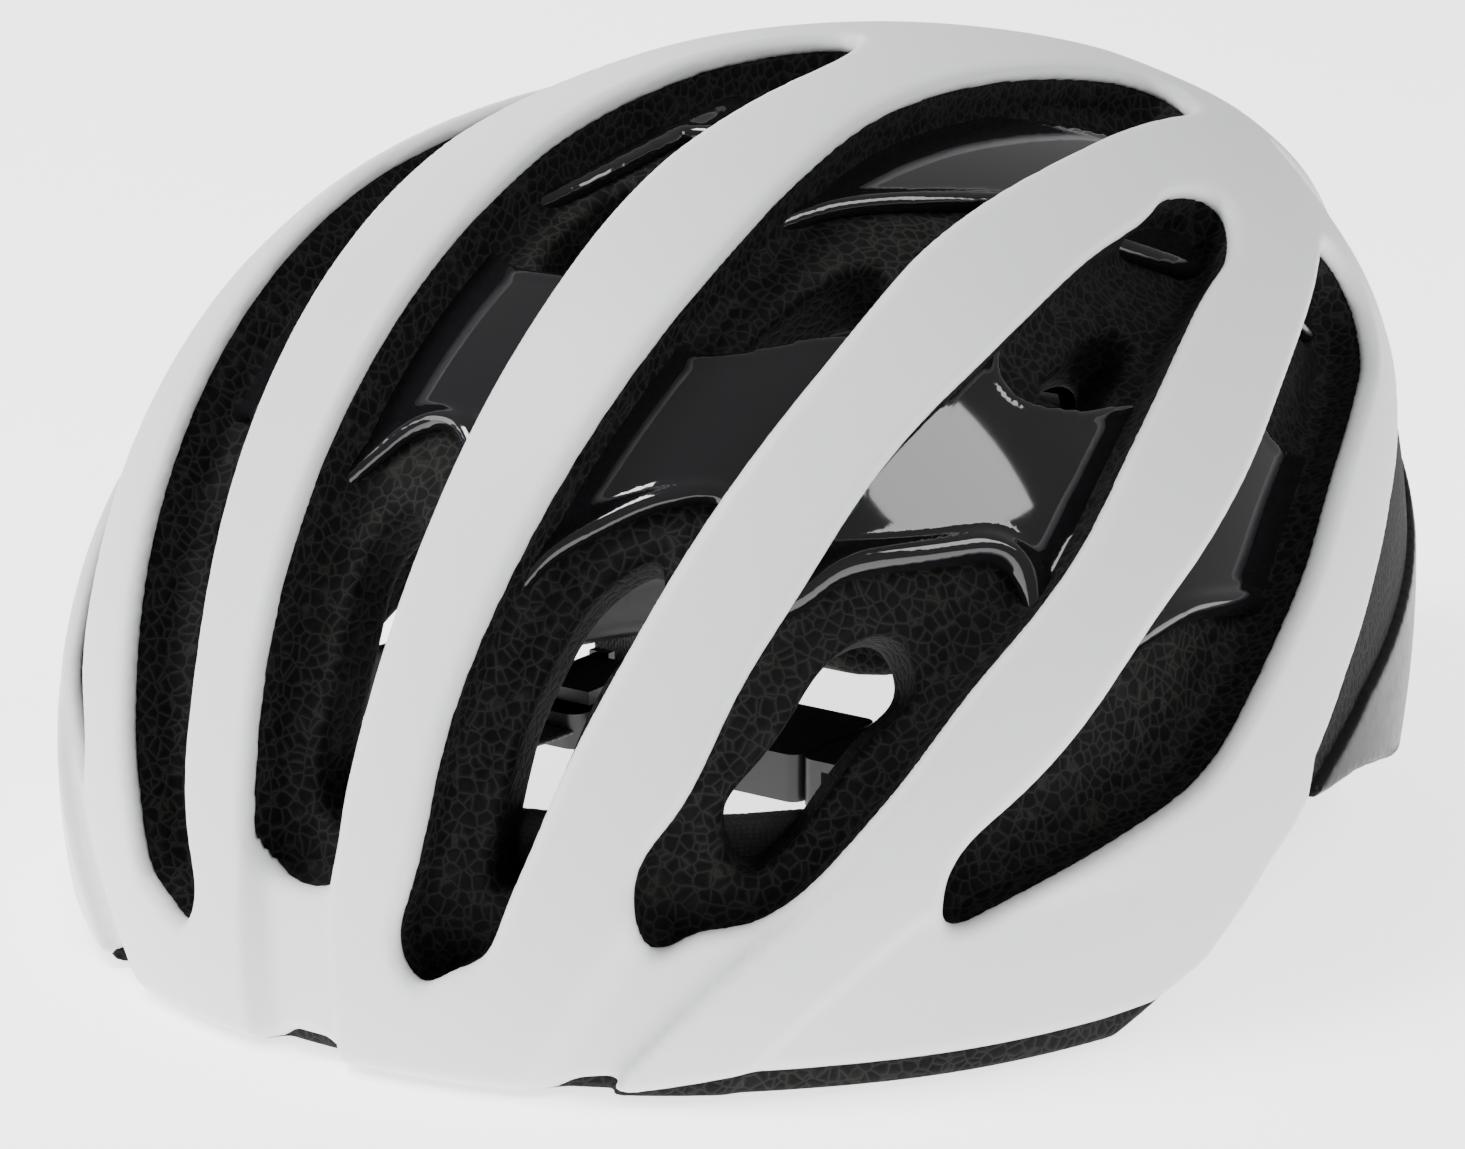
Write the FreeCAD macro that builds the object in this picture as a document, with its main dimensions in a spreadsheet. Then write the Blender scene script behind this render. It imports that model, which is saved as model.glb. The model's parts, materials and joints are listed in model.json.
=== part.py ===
import FreeCAD, Part
import math
import os
import re

# Cycling helmet. Millimetres, +Z up, front towards -Y, the wearer's left towards +X.
# Origin: middle of the bounding box on the plane that the rim rests on.

os.makedirs("parts", exist_ok=True)
doc = FreeCAD.newDocument("cycling_helmet")
V = FreeCAD.Vector
AXIS_X, AXIS_Y, AXIS_Z = V(1, 0, 0), V(0, 1, 0), V(0, 0, 1)

# ---------------------------------------------------------------- driving dimensions
DIMENSIONS = {
    # outer surface: a superellipsoid whose long axis is pitched up towards the tail
    "centre_back": -22.6, "centre_up": 22.5, "outer_pitch": 20,
    "outer_side": 105, "outer_crown": 110, "outer_front": 117, "outer_tail": 172,
    "front_power": 2.04, "tail_power": 1.6, "section_power": 2.2, "nape_tuck": 0.35,
    # head cavity
    "cavity_pitch": 12, "cavity_side": 78, "cavity_crown": 84, "cavity_front": 93,
    "cavity_tail": 110, "cavity_power": 2.2,
    # skins and foam
    "skin": 1.6, "bond_gap": 0.1, "trench_depth": 11, "bridge_skin": 1.4, "bridge_proud": 0.7,
    "pad": 5, "pad_gap": 0.3,
    # headband and its dial
    "pivot_back": -42, "band_level": 20, "pivot_side": 70.2, "pivot_pin": 2, "run_gap": 0.06,
    "band_tall": 11, "band_thick": 1.6, "band_split": 20,
    "rack_back": 72, "rack_thick": 2, "rack_reach": 10, "tongue_end": 37,
    "tooth_module": 1, "pinion_teeth": 10, "pinion_thick": 3.2, "tooth_play": 0.2,
    "case_half": 25, "case_tall": 30, "case_front": 66, "case_split": 72.6, "case_back": 78,
    "shaft": 3, "dial_front": 78.6, "dial_back": 89, "knob": 13.6, "grip": 16,
    "ladder_front": 116, "ladder_thick": 1.6, "ladder_wide": 14, "ladder_top": 62,
    # straps and fittings
    "webbing_wide": 15, "webbing_thick": 1, "strap_level": 7.5, "strap_line": 8,
    "divider_mid": 54, "divider_long": 15, "divider_wide": 27, "divider_tall": 6.4,
    "lever_pin": 1.2, "buckle_wide": 25, "buckle_tall": 8.5, "buckle_end": 25,
    "plug_reach": 10, "keeper_at": 36,
}
sheet = doc.addObject("Spreadsheet::Sheet", "Dims")
for line, (alias, number) in enumerate(DIMENSIONS.items(), start=1):
    sheet.set(f"A{line}", alias)
    sheet.set(f"B{line}", str(number))
    sheet.setAlias(f"B{line}", alias)
doc.recompute()


def size(alias):
    return float(sheet.get(alias))


# ---------------------------------------------------------------- small builders
def linked(text):
    """An expression with each driving dimension's name turned into its sheet reference."""
    return re.sub(r"[a-z_]+", lambda word: f"Dims.{word[0]}" if word[0] in DIMENSIONS else word[0], text)


def bind(item, **expressions):
    for name, text in expressions.items():
        item.setExpression(name, linked(text))
    return item


def place(item, x="0", y="0", z="0", axis=None, turn=0):
    if axis is not None:
        item.Placement = FreeCAD.Placement(V(), FreeCAD.Rotation(axis, turn))
    for letter, text in zip("xyz", (x, y, z)):
        item.setExpression(f"Placement.Base.{letter}", linked(text))
    return item


def box(name, middle, extent):
    """A block about its middle; each of the six values is an expression."""
    item = doc.addObject("Part::Box", name)
    bind(item, Length=extent[0], Width=extent[1], Height=extent[2])
    corners = [f"({m}) - ({e}) / 2" for m, e in zip(middle, extent)]
    return place(item, *corners)


def rod(name, radius, start, length, along="Z"):
    """A cylinder from its start, along +X, +Y or +Z."""
    item = doc.addObject("Part::Cylinder", name)
    bind(item, Radius=radius, Height=length)
    axis, turn = {"Z": (AXIS_Z, 0), "X": (AXIS_Y, 90), "Y": (AXIS_X, -90)}[along]
    return place(item, *start, axis=axis, turn=turn)


def fuse(name, *shapes):
    item = doc.addObject("Part::MultiFuse", name)
    item.Shapes = list(shapes)
    return item


def cut(name, base, *tools):
    item = doc.addObject("Part::Cut", name)
    item.Base = base
    item.Tool = tools[0] if len(tools) == 1 else fuse(name + "_tools", *tools)
    return item


def common(name, *shapes):
    item = doc.addObject("Part::MultiCommon", name)
    item.Shapes = list(shapes)
    return item


def compound(name, *shapes):
    item = doc.addObject("Part::Compound", name)
    item.Links = list(shapes)
    return item


def mirrored(name, source):
    """The same piece on the other side of the helmet."""
    item = doc.addObject("Part::Mirroring", name)
    item.Source = source
    item.Normal = AXIS_X
    return item


def rounded(name, base, radius, wanted):
    """Fillet the edges that the test wanted picks, once the base has its shape."""
    doc.recompute()
    item = doc.addObject("Part::Fillet", name)
    item.Base = base
    edges = [i for i, edge in enumerate(base.Shape.Edges, start=1) if wanted(edge)]
    item.Edges = [(i, radius, radius) for i in edges]
    return item


def runs_along(axis):
    """A test for straight edges that run along an axis."""
    def test(edge):
        straight = isinstance(edge.Curve, Part.Line)
        return straight and abs(edge.tangentAt(edge.FirstParameter).dot(axis)) > 0.999
    return test


def feature(name, shape, placement=FreeCAD.Placement()):
    item = doc.addObject("Part::Feature", name)
    item.Shape = shape
    item.Placement = placement
    return item


NODES = []


def node(label, item):
    item.Label = label
    NODES.append(item)
    return item


# ---------------------------------------------------------------- domes
CENTRE = V(0, size("centre_back"), size("centre_up"))
ARC_STEPS = 8


class Dome:
    """A superellipsoid about CENTRE with its long axis pitched up towards the tail."""

    def __init__(self, side, crown, front, tail, powers, pitch, tuck=0.0):
        self.side, self.crown, self.front, self.tail = side, crown, front, tail
        self.front_power, self.tail_power, self.section_power = powers
        self.pitch, self.tuck = math.radians(pitch), tuck

    def inset(self, depth):
        powers = (self.front_power, self.tail_power, self.section_power)
        return Dome(self.side - depth, self.crown - depth, self.front - depth,
                    self.tail - depth, powers, math.degrees(self.pitch), self.tuck)

    def level(self, point):
        """Below 1 inside the dome, 1 on it."""
        local = point - CENTRE
        along = local.y * math.cos(self.pitch) + local.z * math.sin(self.pitch)
        up = -local.y * math.sin(self.pitch) + local.z * math.cos(self.pitch)
        reach, power = self.end(along)
        tall = self.crown if up >= 0 else self.crown * self.low(along)
        power_of = self.section_power
        ring = (abs(local.x / self.side) ** power_of + abs(up / tall) ** power_of) ** (1 / power_of)
        return (ring ** power + abs(along / reach) ** power) ** (1 / power)

    def end(self, along):
        return (self.front, self.front_power) if along < 0 else (self.tail, self.tail_power)

    def low(self, along):
        """The lower half of a section is shallower towards the nape."""
        return 1 - self.tuck * max(along, 0) / self.tail

    def section(self, along):
        """A closed section in four arcs, each square to the dome's middle planes at its ends."""
        reach, power = self.end(along)
        shrink = (1 - abs(along / reach) ** power) ** (1 / power)
        arcs = []
        for quarter in range(4):
            rim = []
            for i in range(ARC_STEPS + 1):
                turn = math.pi + math.pi / 2 * (quarter + i / ARC_STEPS)
                across, up = math.sin(turn), math.cos(turn)
                tall = self.crown if up >= 0 else self.crown * self.low(along)
                terms = (abs(across / self.side) ** self.section_power
                         + abs(up / tall) ** self.section_power)
                radius = shrink / terms ** (1 / self.section_power)
                rim.append(self.world(radius * across, along, radius * up))
            curve = Part.BSplineCurve()
            curve.interpolate(Points=rim, InitialTangent=self.heading(quarter),
                              FinalTangent=self.heading(quarter + 1), Scale=False)
            arcs.append(curve.toShape())
        return Part.Wire(arcs)

    def heading(self, quarter):
        """Which way a section runs where it crosses the dome's middle planes."""
        high = V(0, -math.sin(self.pitch), math.cos(self.pitch))
        return (V(-1, 0, 0), high, V(1, 0, 0), -high)[quarter % 4]

    def world(self, across, along, up):
        back = along * math.cos(self.pitch) - up * math.sin(self.pitch)
        high = along * math.sin(self.pitch) + up * math.cos(self.pitch)
        return CENTRE + V(across, back, high)

    def solid(self):
        shares = (0.98, 0.92, 0.81, 0.64, 0.43, 0.2)
        stations = [-self.front * share for share in shares] + [0.0]
        stations += [self.tail * share for share in reversed(shares)]
        rims = [self.section(station) for station in stations]
        nose = Part.Vertex(self.world(0, -self.front, 0))
        tip = Part.Vertex(self.world(0, self.tail, 0))
        return Part.makeLoft([nose] + rims + [tip], True, False)

    def point(self, chart, across, along):
        """Where a line through a chart's point meets the dome from outside."""
        start = chart.right * across + chart.up * along
        near, far = -20.0, 260.0
        for _ in range(50):
            middle = (near + far) / 2
            if self.level(start + chart.out * middle) > 1:
                far = middle
            else:
                near = middle
        return start + chart.out * near


class Chart:
    """A flat drawing plane: points are (right, up), and out leads to the viewer."""

    def __init__(self, right, up, out):
        self.right, self.up, self.out = V(*right), V(*up), V(*out)


HALF = math.sqrt(0.5)
BROW_VIEW = Chart((1, 0, 0), (0, HALF, HALF), (0, -HALF, HALF))
SIDE_VIEW = Chart((0, 1, 0), (0, 0, 1), (1, 0, 0))
TAIL_VIEW = Chart((1, 0, 0), (0, -HALF, HALF), (0, HALF, HALF))

outer = Dome(size("outer_side"), size("outer_crown"), size("outer_front"), size("outer_tail"),
             (size("front_power"), size("tail_power"), size("section_power")),
             size("outer_pitch"), size("nape_tuck"))
foam_top = outer.inset(size("skin") + size("bond_gap"))
skin_back = outer.inset(size("skin"))
trench = outer.inset(size("trench_depth"))
cavity = Dome(size("cavity_side"), size("cavity_crown"), size("cavity_front"),
              size("cavity_tail"), (size("cavity_power"),) * 3, size("cavity_pitch"))

# ---------------------------------------------------------------- slots and through-holes
# Outlines of the openings on the wearer's left, in the named view.
SLOTS = {
    "centre": (BROW_VIEW, [(0, -79.5), (4, -79), (7.2, -76.5), (9, -69), (10.2, -57), (11.4, -42),
                           (12.2, -24), (12.6, -4), (12.6, 16), (12, 38), (11.8, 58), (11, 76), (8, 92),
                           (0, 101), (-8, 92), (-11, 76), (-11.8, 58), (-12, 38), (-12.6, 16),
                           (-12.6, -4), (-12.2, -24), (-11.4, -42), (-10.2, -57), (-9, -69),
                           (-7.2, -76.5), (-4, -79)]),
    "inner": (BROW_VIEW, [(22, -85), (28, -82.8), (33, -79.5), (36, -73.5), (38.8, -66), (42, -55),
                          (46.5, -38), (50, -20), (53, 0), (55, 24), (54.3, 46), (53, 66), (51, 84),
                          (47.5, 101), (43.5, 116), (37, 126), (31.5, 127), (28.8, 118), (27.8, 104),
                          (27.5, 88), (28.4, 74), (31, 58), (33, 36), (32.4, 14), (30, -12),
                          (26.8, -36), (23.8, -58), (21, -76), (20, -83)]),
    "outer": (BROW_VIEW, [(55, -70.5), (60, -67), (66, -62.5), (71.5, -56), (76.5, -46), (81, -34),
                          (85, -18), (88, -2), (88.8, 14), (87, 31), (83.5, 47), (79, 62), (73.5, 78),
                          (67.5, 91), (61.5, 97), (60.8, 92), (63.5, 82), (66.5, 67), (69, 50),
                          (70, 36), (69, 20), (67, 0), (65, -18), (61.5, -36), (57, -54), (53.3, -67)]),
    "side": (SIDE_VIEW, [(-91, 25), (-84, 26.2), (-70, 31), (-56, 35), (-44, 39), (-32, 46.5),
                         (-16, 55.5), (-2, 62), (14, 69.5), (32, 75), (50, 78.5), (64, 82), (70, 88),
                         (66, 95), (50, 96.5), (26, 92), (6, 86.8), (-14, 79.5), (-34, 71.5),
                         (-52, 62.5), (-68, 51), (-82, 41.3), (-91.5, 31)]),
    "tail_inner": (TAIL_VIEW, [(14, 38), (22, 37), (26, 28), (27, 10), (25, -8), (19, -22), (11, -24),
                               (8, -12), (8, 8), (10, 28)]),
    "tail_outer": (TAIL_VIEW, [(43, 20), (51, 17), (56, 6), (57, -8), (53, -22), (45, -28),
                               (38, -22), (37, -6), (38, 10)]),
}
HOLES = {
    "centre_brow": (BROW_VIEW, [(0, -74), (4.2, -71), (5.6, -60), (5.8, -40), (4.4, -27), (0, -23),
                                (-4.4, -27), (-5.8, -40), (-5.6, -60), (-4.2, -71)]),
    "centre_crown": (BROW_VIEW, [(0, 27), (4, 30), (5.5, 42), (4.4, 54), (0, 58), (-4.4, 54),
                                 (-5.5, 42), (-4, 30)]),
    "inner_brow": (BROW_VIEW, [(45, -19), (40, -24), (36.5, -31), (33.8, -42), (31.5, -54),
                               (30.2, -66), (31, -75), (33.5, -74), (36.8, -66), (39.8, -54),
                               (43.8, -38), (47.5, -24)]),
    "inner_crown": (BROW_VIEW, [(46, 16), (42, 20), (41.4, 31), (43.8, 43), (48, 51), (51.5, 48),
                                (52.4, 36), (51.5, 20)]),
    "outer_brow": (BROW_VIEW, [(79, -13), (82, -17), (80.5, -26), (74.4, -44), (69.5, -54.5),
                               (65, -58.5), (63, -56), (65.3, -44), (69, -33), (72.5, -20)]),
    "outer_crown": (BROW_VIEW, [(77, 42), (75, 50), (73.4, 60), (74.4, 66), (78, 60), (80.5, 51),
                                (80.5, 44)]),
    "tail_inner": (TAIL_VIEW, [(15, 30), (21, 28), (23, 16), (22, 2), (16, -6), (12, 2), (11, 18)]),
    "tail_outer": (TAIL_VIEW, [(44, 10), (50, 6), (51, -6), (46, -14), (41, -8), (40, 4)]),
}
HOLE_TAPER = 95.0
OVERCUT = 1.03


def cone_cutter(chart, outline, apex, mirror=False):
    """A closed cone from apex through an outline on the outer surface, shut again outside."""
    rim = [outer.point(chart, *place_on) for place_on in outline]
    if mirror:
        rim = [V(-p.x, p.y, p.z) for p in rim]
        apex = V(-apex.x, apex.y, apex.z)
    middle = V()
    for p in rim:
        middle += p / len(rim)
    curve = Part.BSplineCurve()
    curve.interpolate(Points=[apex + (p - apex) * OVERCUT for p in rim], PeriodicFlag=True)
    far = apex + (middle - apex) * 5
    stages = [Part.Vertex(apex), Part.Wire(curve.toShape()), Part.Vertex(far)]
    return Part.makeLoft(stages, True, True)


def hole_apex(chart, outline):
    """A hole narrows inwards, so its apex lies a set depth below its own middle."""
    rim = [outer.point(chart, *place_on) for place_on in outline]
    middle = V()
    for p in rim:
        middle += p / len(rim)
    inward = CENTRE - middle
    return middle + inward * (HOLE_TAPER / inward.Length)


def both_sides(chart, outline, apex):
    """The cutter, and its mirror image unless it crosses the middle of the helmet."""
    cutters = [cone_cutter(chart, outline, apex)]
    if min(abs(across) for across, _ in outline) > 5 or chart is SIDE_VIEW:
        cutters.append(cone_cutter(chart, outline, apex, mirror=True))
    return cutters


slot_cutters = [c for chart, outline in SLOTS.values() for c in both_sides(chart, outline, CENTRE)]
hole_cutters = [c for chart, outline in HOLES.values()
                for c in both_sides(chart, outline, hole_apex(chart, outline))]

# ---------------------------------------------------------------- rim and skins, in side view
FAR = 160.0


def prism_across(points, half=FAR):
    """A side-view outline (y, z) carried right across the helmet."""
    corners = [V(-half, y, z) for y, z in points]
    return Part.Face(Part.makePolygon(corners + corners[:1])).extrude(V(2 * half, 0, 0))


TOP = [(FAR, FAR), (-FAR, FAR)]
FOAM_RIM = [(-FAR, 0), (-60, 0), (-44, 8), (-28, 20), (-14, 27), (4, 26), (22, 23), (40, 18),
            (58, 9), (72, 0), (FAR, 0)]
WHITE_HEM = [(-FAR, 0.4), (-124, 0.4), (-112, 4), (-64, 4.2), (-54, 4.6), (-44, 8.4), (-28, 20.3),
             (-16, 27), (-13, 33), (2, 42), (23, 52), (40, 59), (70, 68), (110, 76), (FAR, 82)]
NAPE_TOP = [(FAR, 70), (118, 60), (80, 49), (40, 42), (12, 37), (-8, 31), (-14, 28.5)]
FRONT_BRIDGE = [(-130, 108), (-104, 86), (-90, 72), (-48, 62), (-20, 44), (10, 60), (24, 74), (0, 79),
                (-37, 88), (-58, 93), (-78, 102), (-100, 130)]
REAR_BRIDGE = [(-66, 150), (-52, 118), (-30, 102), (-12, 84), (4, 92), (8, 104), (-14, 122), (-22, 150)]

foam_band = prism_across(FOAM_RIM + TOP)
hem_band = prism_across(WHITE_HEM + TOP)


def one_solid(shape):
    """The largest solid of a shape, with seam faces of one surface joined."""
    return max(shape.Solids, key=lambda piece: piece.Volume)


outer_solid = outer.solid()
skin_layer = outer_solid.cut(skin_back.solid())
shell = skin_layer.common(hem_band).cut(slot_cutters)
node("outer_shell", feature("OuterShell", one_solid(shell)))

# arch in the nape that the fit dial sits in, and the pocket that it rises into
ARCH_HALF, ARCH_TOP, ARCH_CORNER = 33.0, 40.0, 12.0
NAPE_FRONT, BELOW_RIM = 40.0, 10.0
arch = Part.makeBox(2 * ARCH_HALF, FAR, ARCH_TOP + BELOW_RIM, V(-ARCH_HALF, NAPE_FRONT, -BELOW_RIM))
arch = arch.makeFillet(ARCH_CORNER, [e for e in arch.Edges
                                     if runs_along(AXIS_Y)(e) and e.BoundBox.ZMin > 0])
POCKET_HALF, POCKET_BACK, POCKET_TOP = 30.0, 95.0, 54.0
pocket = Part.makeBox(2 * POCKET_HALF, POCKET_BACK - NAPE_FRONT, POCKET_TOP + BELOW_RIM,
                      V(-POCKET_HALF, NAPE_FRONT, -BELOW_RIM))
LADDER_ROOM, LADDER_ROOM_SPAN, LADDER_ROOM_TOP = 10.0, (26.0, 86.0), 90.0
ladder_room = Part.makeBox(2 * LADDER_ROOM, LADDER_ROOM_SPAN[1] - LADDER_ROOM_SPAN[0], LADDER_ROOM_TOP,
                           V(-LADDER_ROOM, LADDER_ROOM_SPAN[0], 0))

cover_shape = skin_layer.common(prism_across(FOAM_RIM[4:] + NAPE_TOP)).cut(arch)
node("nape_cover", feature("NapeCover", one_solid(cover_shape)))

bridge_top = trench.inset(-size("bridge_proud"))
bridge_layer = bridge_top.solid().cut(trench.inset(size("bridge_skin") - size("bridge_proud")).solid())
bridges = {}
for label, outline in (("front_bridge", FRONT_BRIDGE), ("rear_bridge", REAR_BRIDGE)):
    hoop = one_solid(bridge_layer.common(prism_across(outline)).cut(hole_cutters))
    bridges[label] = hoop
    node(label, feature(label.title().replace("_", ""), hoop))

ribs = foam_top.solid().cut(slot_cutters)
foam = ribs.fuse(trench.solid()).common(foam_band)
foam = foam.cut([cavity.solid(), arch, pocket, ladder_room] + hole_cutters)
foam = foam.cut(list(bridges.values()))

# plates moulded into the foam carry the straps, the headband's pins and the height ladder
PLATE_RADIUS, PLATE_OUT = 6.5, 80
FRONT_PLATE = (72.2, -54, 9.5)
REAR_PLATE = (66.2, 32, 30)


def anchor_plates(name, spot, label):
    """A round plate a side, sunk in the cavity's wall, with a slot for the webbing."""
    x, y, z = spot
    disc = rod(name + "_disc", str(PLATE_RADIUS), (str(x), str(y), str(z)), f"{PLATE_OUT} - {x}", "X")
    rim = rounded(name + "_rim", disc, 0.8, lambda edge: abs(edge.BoundBox.XMax - x) < 0.01)
    slot = box(name + "_slot", (str(x), str(y), f"{z} - 2"), ("1.6", "9", "2"))
    left = cut(name + "_left", rim, slot)
    return node(label, compound(name, left, mirrored(name + "_right", left)))


front_plates = anchor_plates("FrontAnchors", FRONT_PLATE, "front_strap_anchors")
rear_plates = anchor_plates("RearAnchors", REAR_PLATE, "rear_strap_anchors")

CLIP_FACE = "pivot_side + band_thick / 2 + 0.4"
CLIP_PIN_END = "pivot_side - band_thick / 2 - 2.2"
clip_at = ("pivot_back", "band_level")
clip_boss = rod("ClipBoss", "4", (CLIP_FACE, *clip_at), f"76 - ({CLIP_FACE})", "X")
clip_base = rod("ClipBase", "8", ("74.9", *clip_at), "6", "X")
clip_pin = rod("ClipPin", "pivot_pin", (CLIP_PIN_END, *clip_at), "8", "X")
clip_head = rod("ClipHead", "3.3", (CLIP_PIN_END, *clip_at), "1.8", "X")
clip_left = fuse("ClipLeft", clip_base, clip_boss, clip_pin, clip_head)
clips = node("temple_clips", compound("TempleClips", clip_left, mirrored("ClipRight", clip_left)))

# the ladder is bent about the headband's pivot, so it can follow it through its bracket
ladder_mid = ("pivot_back", "band_level")


def ladder_ring(name, inner, outside, width):
    """A ring about the headband's pivot axis, between two radii."""
    start = (f"-({width}) / 2", *ladder_mid)
    whole = rod(name + "_outside", outside, start, width, "X")
    hollow = rod(name + "_hollow", inner, (f"-({width}) / 2 - 1", *ladder_mid),
                 f"({width}) + 2", "X")
    return cut(name, whole, hollow)


LADDER_FOOT, NOTCH_STEP, NOTCHES = 30, 4.5, 5
ladder_strip = common(
    "LadderStrip", ladder_ring("LadderRing", "ladder_front", "ladder_front + ladder_thick",
                               "ladder_wide"),
    box("LadderSpan", ("0", "90", f"(ladder_top + {LADDER_FOOT}) / 2"),
        ("40", "80", f"ladder_top - {LADDER_FOOT}")))
notches = [rod(f"Notch{side}{i}", "1.1", (f"{side} * ladder_wide / 2", "50", str(38 + NOTCH_STEP * i)),
               "40", "Y") for side in (-1, 1) for i in range(NOTCHES)]
ladder = node("height_ladder", cut("Ladder", ladder_strip, *notches))

bracket_block = box("BracketBlock", ("0", "77.5", "56.4"), ("28", "27", "3.6"))
bracket_plate = rounded("BracketPlate", bracket_block, 3,
                        lambda edge: runs_along(AXIS_Z)(edge) and edge.BoundBox.YMax < 70)
bracket_slot = ladder_ring("BracketSlot", "ladder_front - 0.35", "ladder_front + ladder_thick + 0.35",
                           "ladder_wide + 0.8")
bracket = node("height_anchor", cut("HeightAnchor", bracket_plate, bracket_slot))
doc.recompute()

foam = foam.cut([front_plates.Shape, rear_plates.Shape, clip_base.Shape,
                 doc.ClipRight.Shape, bracket_plate.Shape])
node("eps_liner", feature("EpsLiner", one_solid(foam)))

# ---------------------------------------------------------------- pads on the cavity's wall
pad_layer = cavity.inset(size("pad_gap")).solid().cut(cavity.inset(size("pad_gap") + size("pad")).solid())
PADS = {
    "brow_pad": ((-62, -130, 12), (124, 56, 24), AXIS_Y),
    "crown_pad_centre": ((-13, -36, 60), (26, 74, 60), AXIS_Z),
    "crown_pad_left": ((27, -36, 50), (17, 66, 60), AXIS_Z),
    "side_pad_left": ((50, -34, 46), (40, 56, 19), AXIS_X),
}
PAD_CORNER = 7
for label, (corner, extent, facing) in PADS.items():
    blank = Part.makeBox(*extent, V(*corner))
    blank = blank.makeFillet(PAD_CORNER, [e for e in blank.Edges if runs_along(facing)(e)])
    pad = node(label, feature(label.title().replace("_", ""), one_solid(pad_layer.common(blank))))
    if label.endswith("left"):
        other = label.replace("left", "right")
        node(other, mirrored(other.title().replace("_", ""), pad))

# ---------------------------------------------------------------- headband strips
MODULE = size("tooth_module")
PITCH_RADIUS = MODULE * size("pinion_teeth") / 2
PITCH = math.pi * MODULE
ADDENDUM, DEDENDUM, SPINE = 0.8 * MODULE, 1.05 * MODULE, 2.15
FLANK = math.tan(math.radians(20))
SPLIT_GAP = 0.3
SLIM_UNTIL, DEEP_FROM = 30.0, 62.0
STRIP_STEPS, STRIP_TALL, STRIP_FRONT = 40, 60, -60
BAND_LINE = [(37, 72), (46.5, 62.5), (57.5, 43), (64.6, 20), (69.3, -5), (70.2, -26), (70.2, -51)]


def band_strip():
    """The whole left strip, as tall as its deepest part: its plan line thickened both ways."""
    curve = Part.BSplineCurve()
    line = [V(x, y, 0) for x, y in BAND_LINE]
    curve.interpolate(Points=line, InitialTangent=V(1, 0, 0), FinalTangent=V(0, -1, 0))
    half = size("band_thick") / 2
    rims = ([], [])
    for i in range(STRIP_STEPS + 1):
        at = curve.FirstParameter + (curve.LastParameter - curve.FirstParameter) * i / STRIP_STEPS
        spot, ahead = curve.value(at), curve.tangent(at)[0]
        aside = V(-ahead.y, ahead.x, 0)
        rims[0].append(spot + aside * half)
        rims[1].append(spot - aside * half)
    sides = []
    for rim in rims:
        side = Part.BSplineCurve()
        side.interpolate(Points=rim)
        sides.append(side.toShape())
    ends = [Part.makeLine(rims[0][k], rims[1][k]) for k in (0, -1)]
    face = Part.Face(Part.Wire(Part.__sortEdges__(sides + ends)))
    return face.extrude(V(0, 0, STRIP_TALL))


def band_profile(front, back):
    """Side view of a strip between two places: it deepens towards the nape."""
    level, slim = size("band_level"), size("band_tall") / 2
    deep = PITCH_RADIUS + DEDENDUM + SPINE
    marks = [(front, slim), (min(SLIM_UNTIL, back), slim)]
    if back > DEEP_FROM:
        marks += [(DEEP_FROM, deep), (back, deep)]
    upper = [(y, level + half) for y, half in marks]
    lower = [(y, level - half) for y, half in reversed(marks)]
    return prism_across(upper + lower)


strip = band_strip()
pin_hole = Part.makeCylinder(size("pivot_pin") + size("run_gap"), 20,
                             V(60, size("pivot_back"), size("band_level")), AXIS_X)
side_strip = strip.common(band_profile(STRIP_FRONT, size("band_split") - SPLIT_GAP)).cut(pin_hole)
nose = side_strip.BoundBox.YMin + 1
nose_edges = [e for e in side_strip.Edges if runs_along(AXIS_X)(e) and e.BoundBox.YMax < nose]
NOSE_RADIUS = 4.5
side_band = node("side_band_left", feature("SideBandLeft", side_strip.makeFillet(NOSE_RADIUS, nose_edges)))
node("side_band_right", mirrored("SideBandRight", side_band))

# racks: straight tongues that reach past the pinion, the left one above it
RACK_TEETH = range(-3, 6)


def rack_outline():
    """A rack whose pitch line is z = 0 and whose teeth point down, one gap centred on x = 0."""
    half = (PITCH / 2 - size("tooth_play")) / 2
    first, last = -size("rack_reach"), size("tongue_end")
    points = [V(last, 0, DEDENDUM + SPINE), V(first, 0, DEDENDUM + SPINE), V(first, 0, DEDENDUM)]
    for k in RACK_TEETH:
        middle = (k + 0.5) * PITCH
        root, tip = half + DEDENDUM * FLANK, half - ADDENDUM * FLANK
        points += [V(middle - root, 0, DEDENDUM), V(middle - tip, 0, -ADDENDUM),
                   V(middle + tip, 0, -ADDENDUM), V(middle + root, 0, DEDENDUM)]
    points.append(V(last, 0, DEDENDUM))
    return Part.Face(Part.makePolygon(points + points[:1]))


rack = rack_outline().extrude(V(0, size("rack_thick"), 0))
rack.translate(V(0, size("rack_back") - size("rack_thick") / 2, size("band_level") + PITCH_RADIUS))
arm_strip = strip.common(band_profile(size("band_split") + SPLIT_GAP, 80))
arm = arm_strip.fuse(rack)
node("fit_arm_left", feature("FitArmLeft", arm))
half_turn = FreeCAD.Placement(V(), FreeCAD.Rotation(AXIS_Y, 180), V(0, 0, size("band_level")))
node("fit_arm_right", feature("FitArmRight", arm, half_turn))

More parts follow.
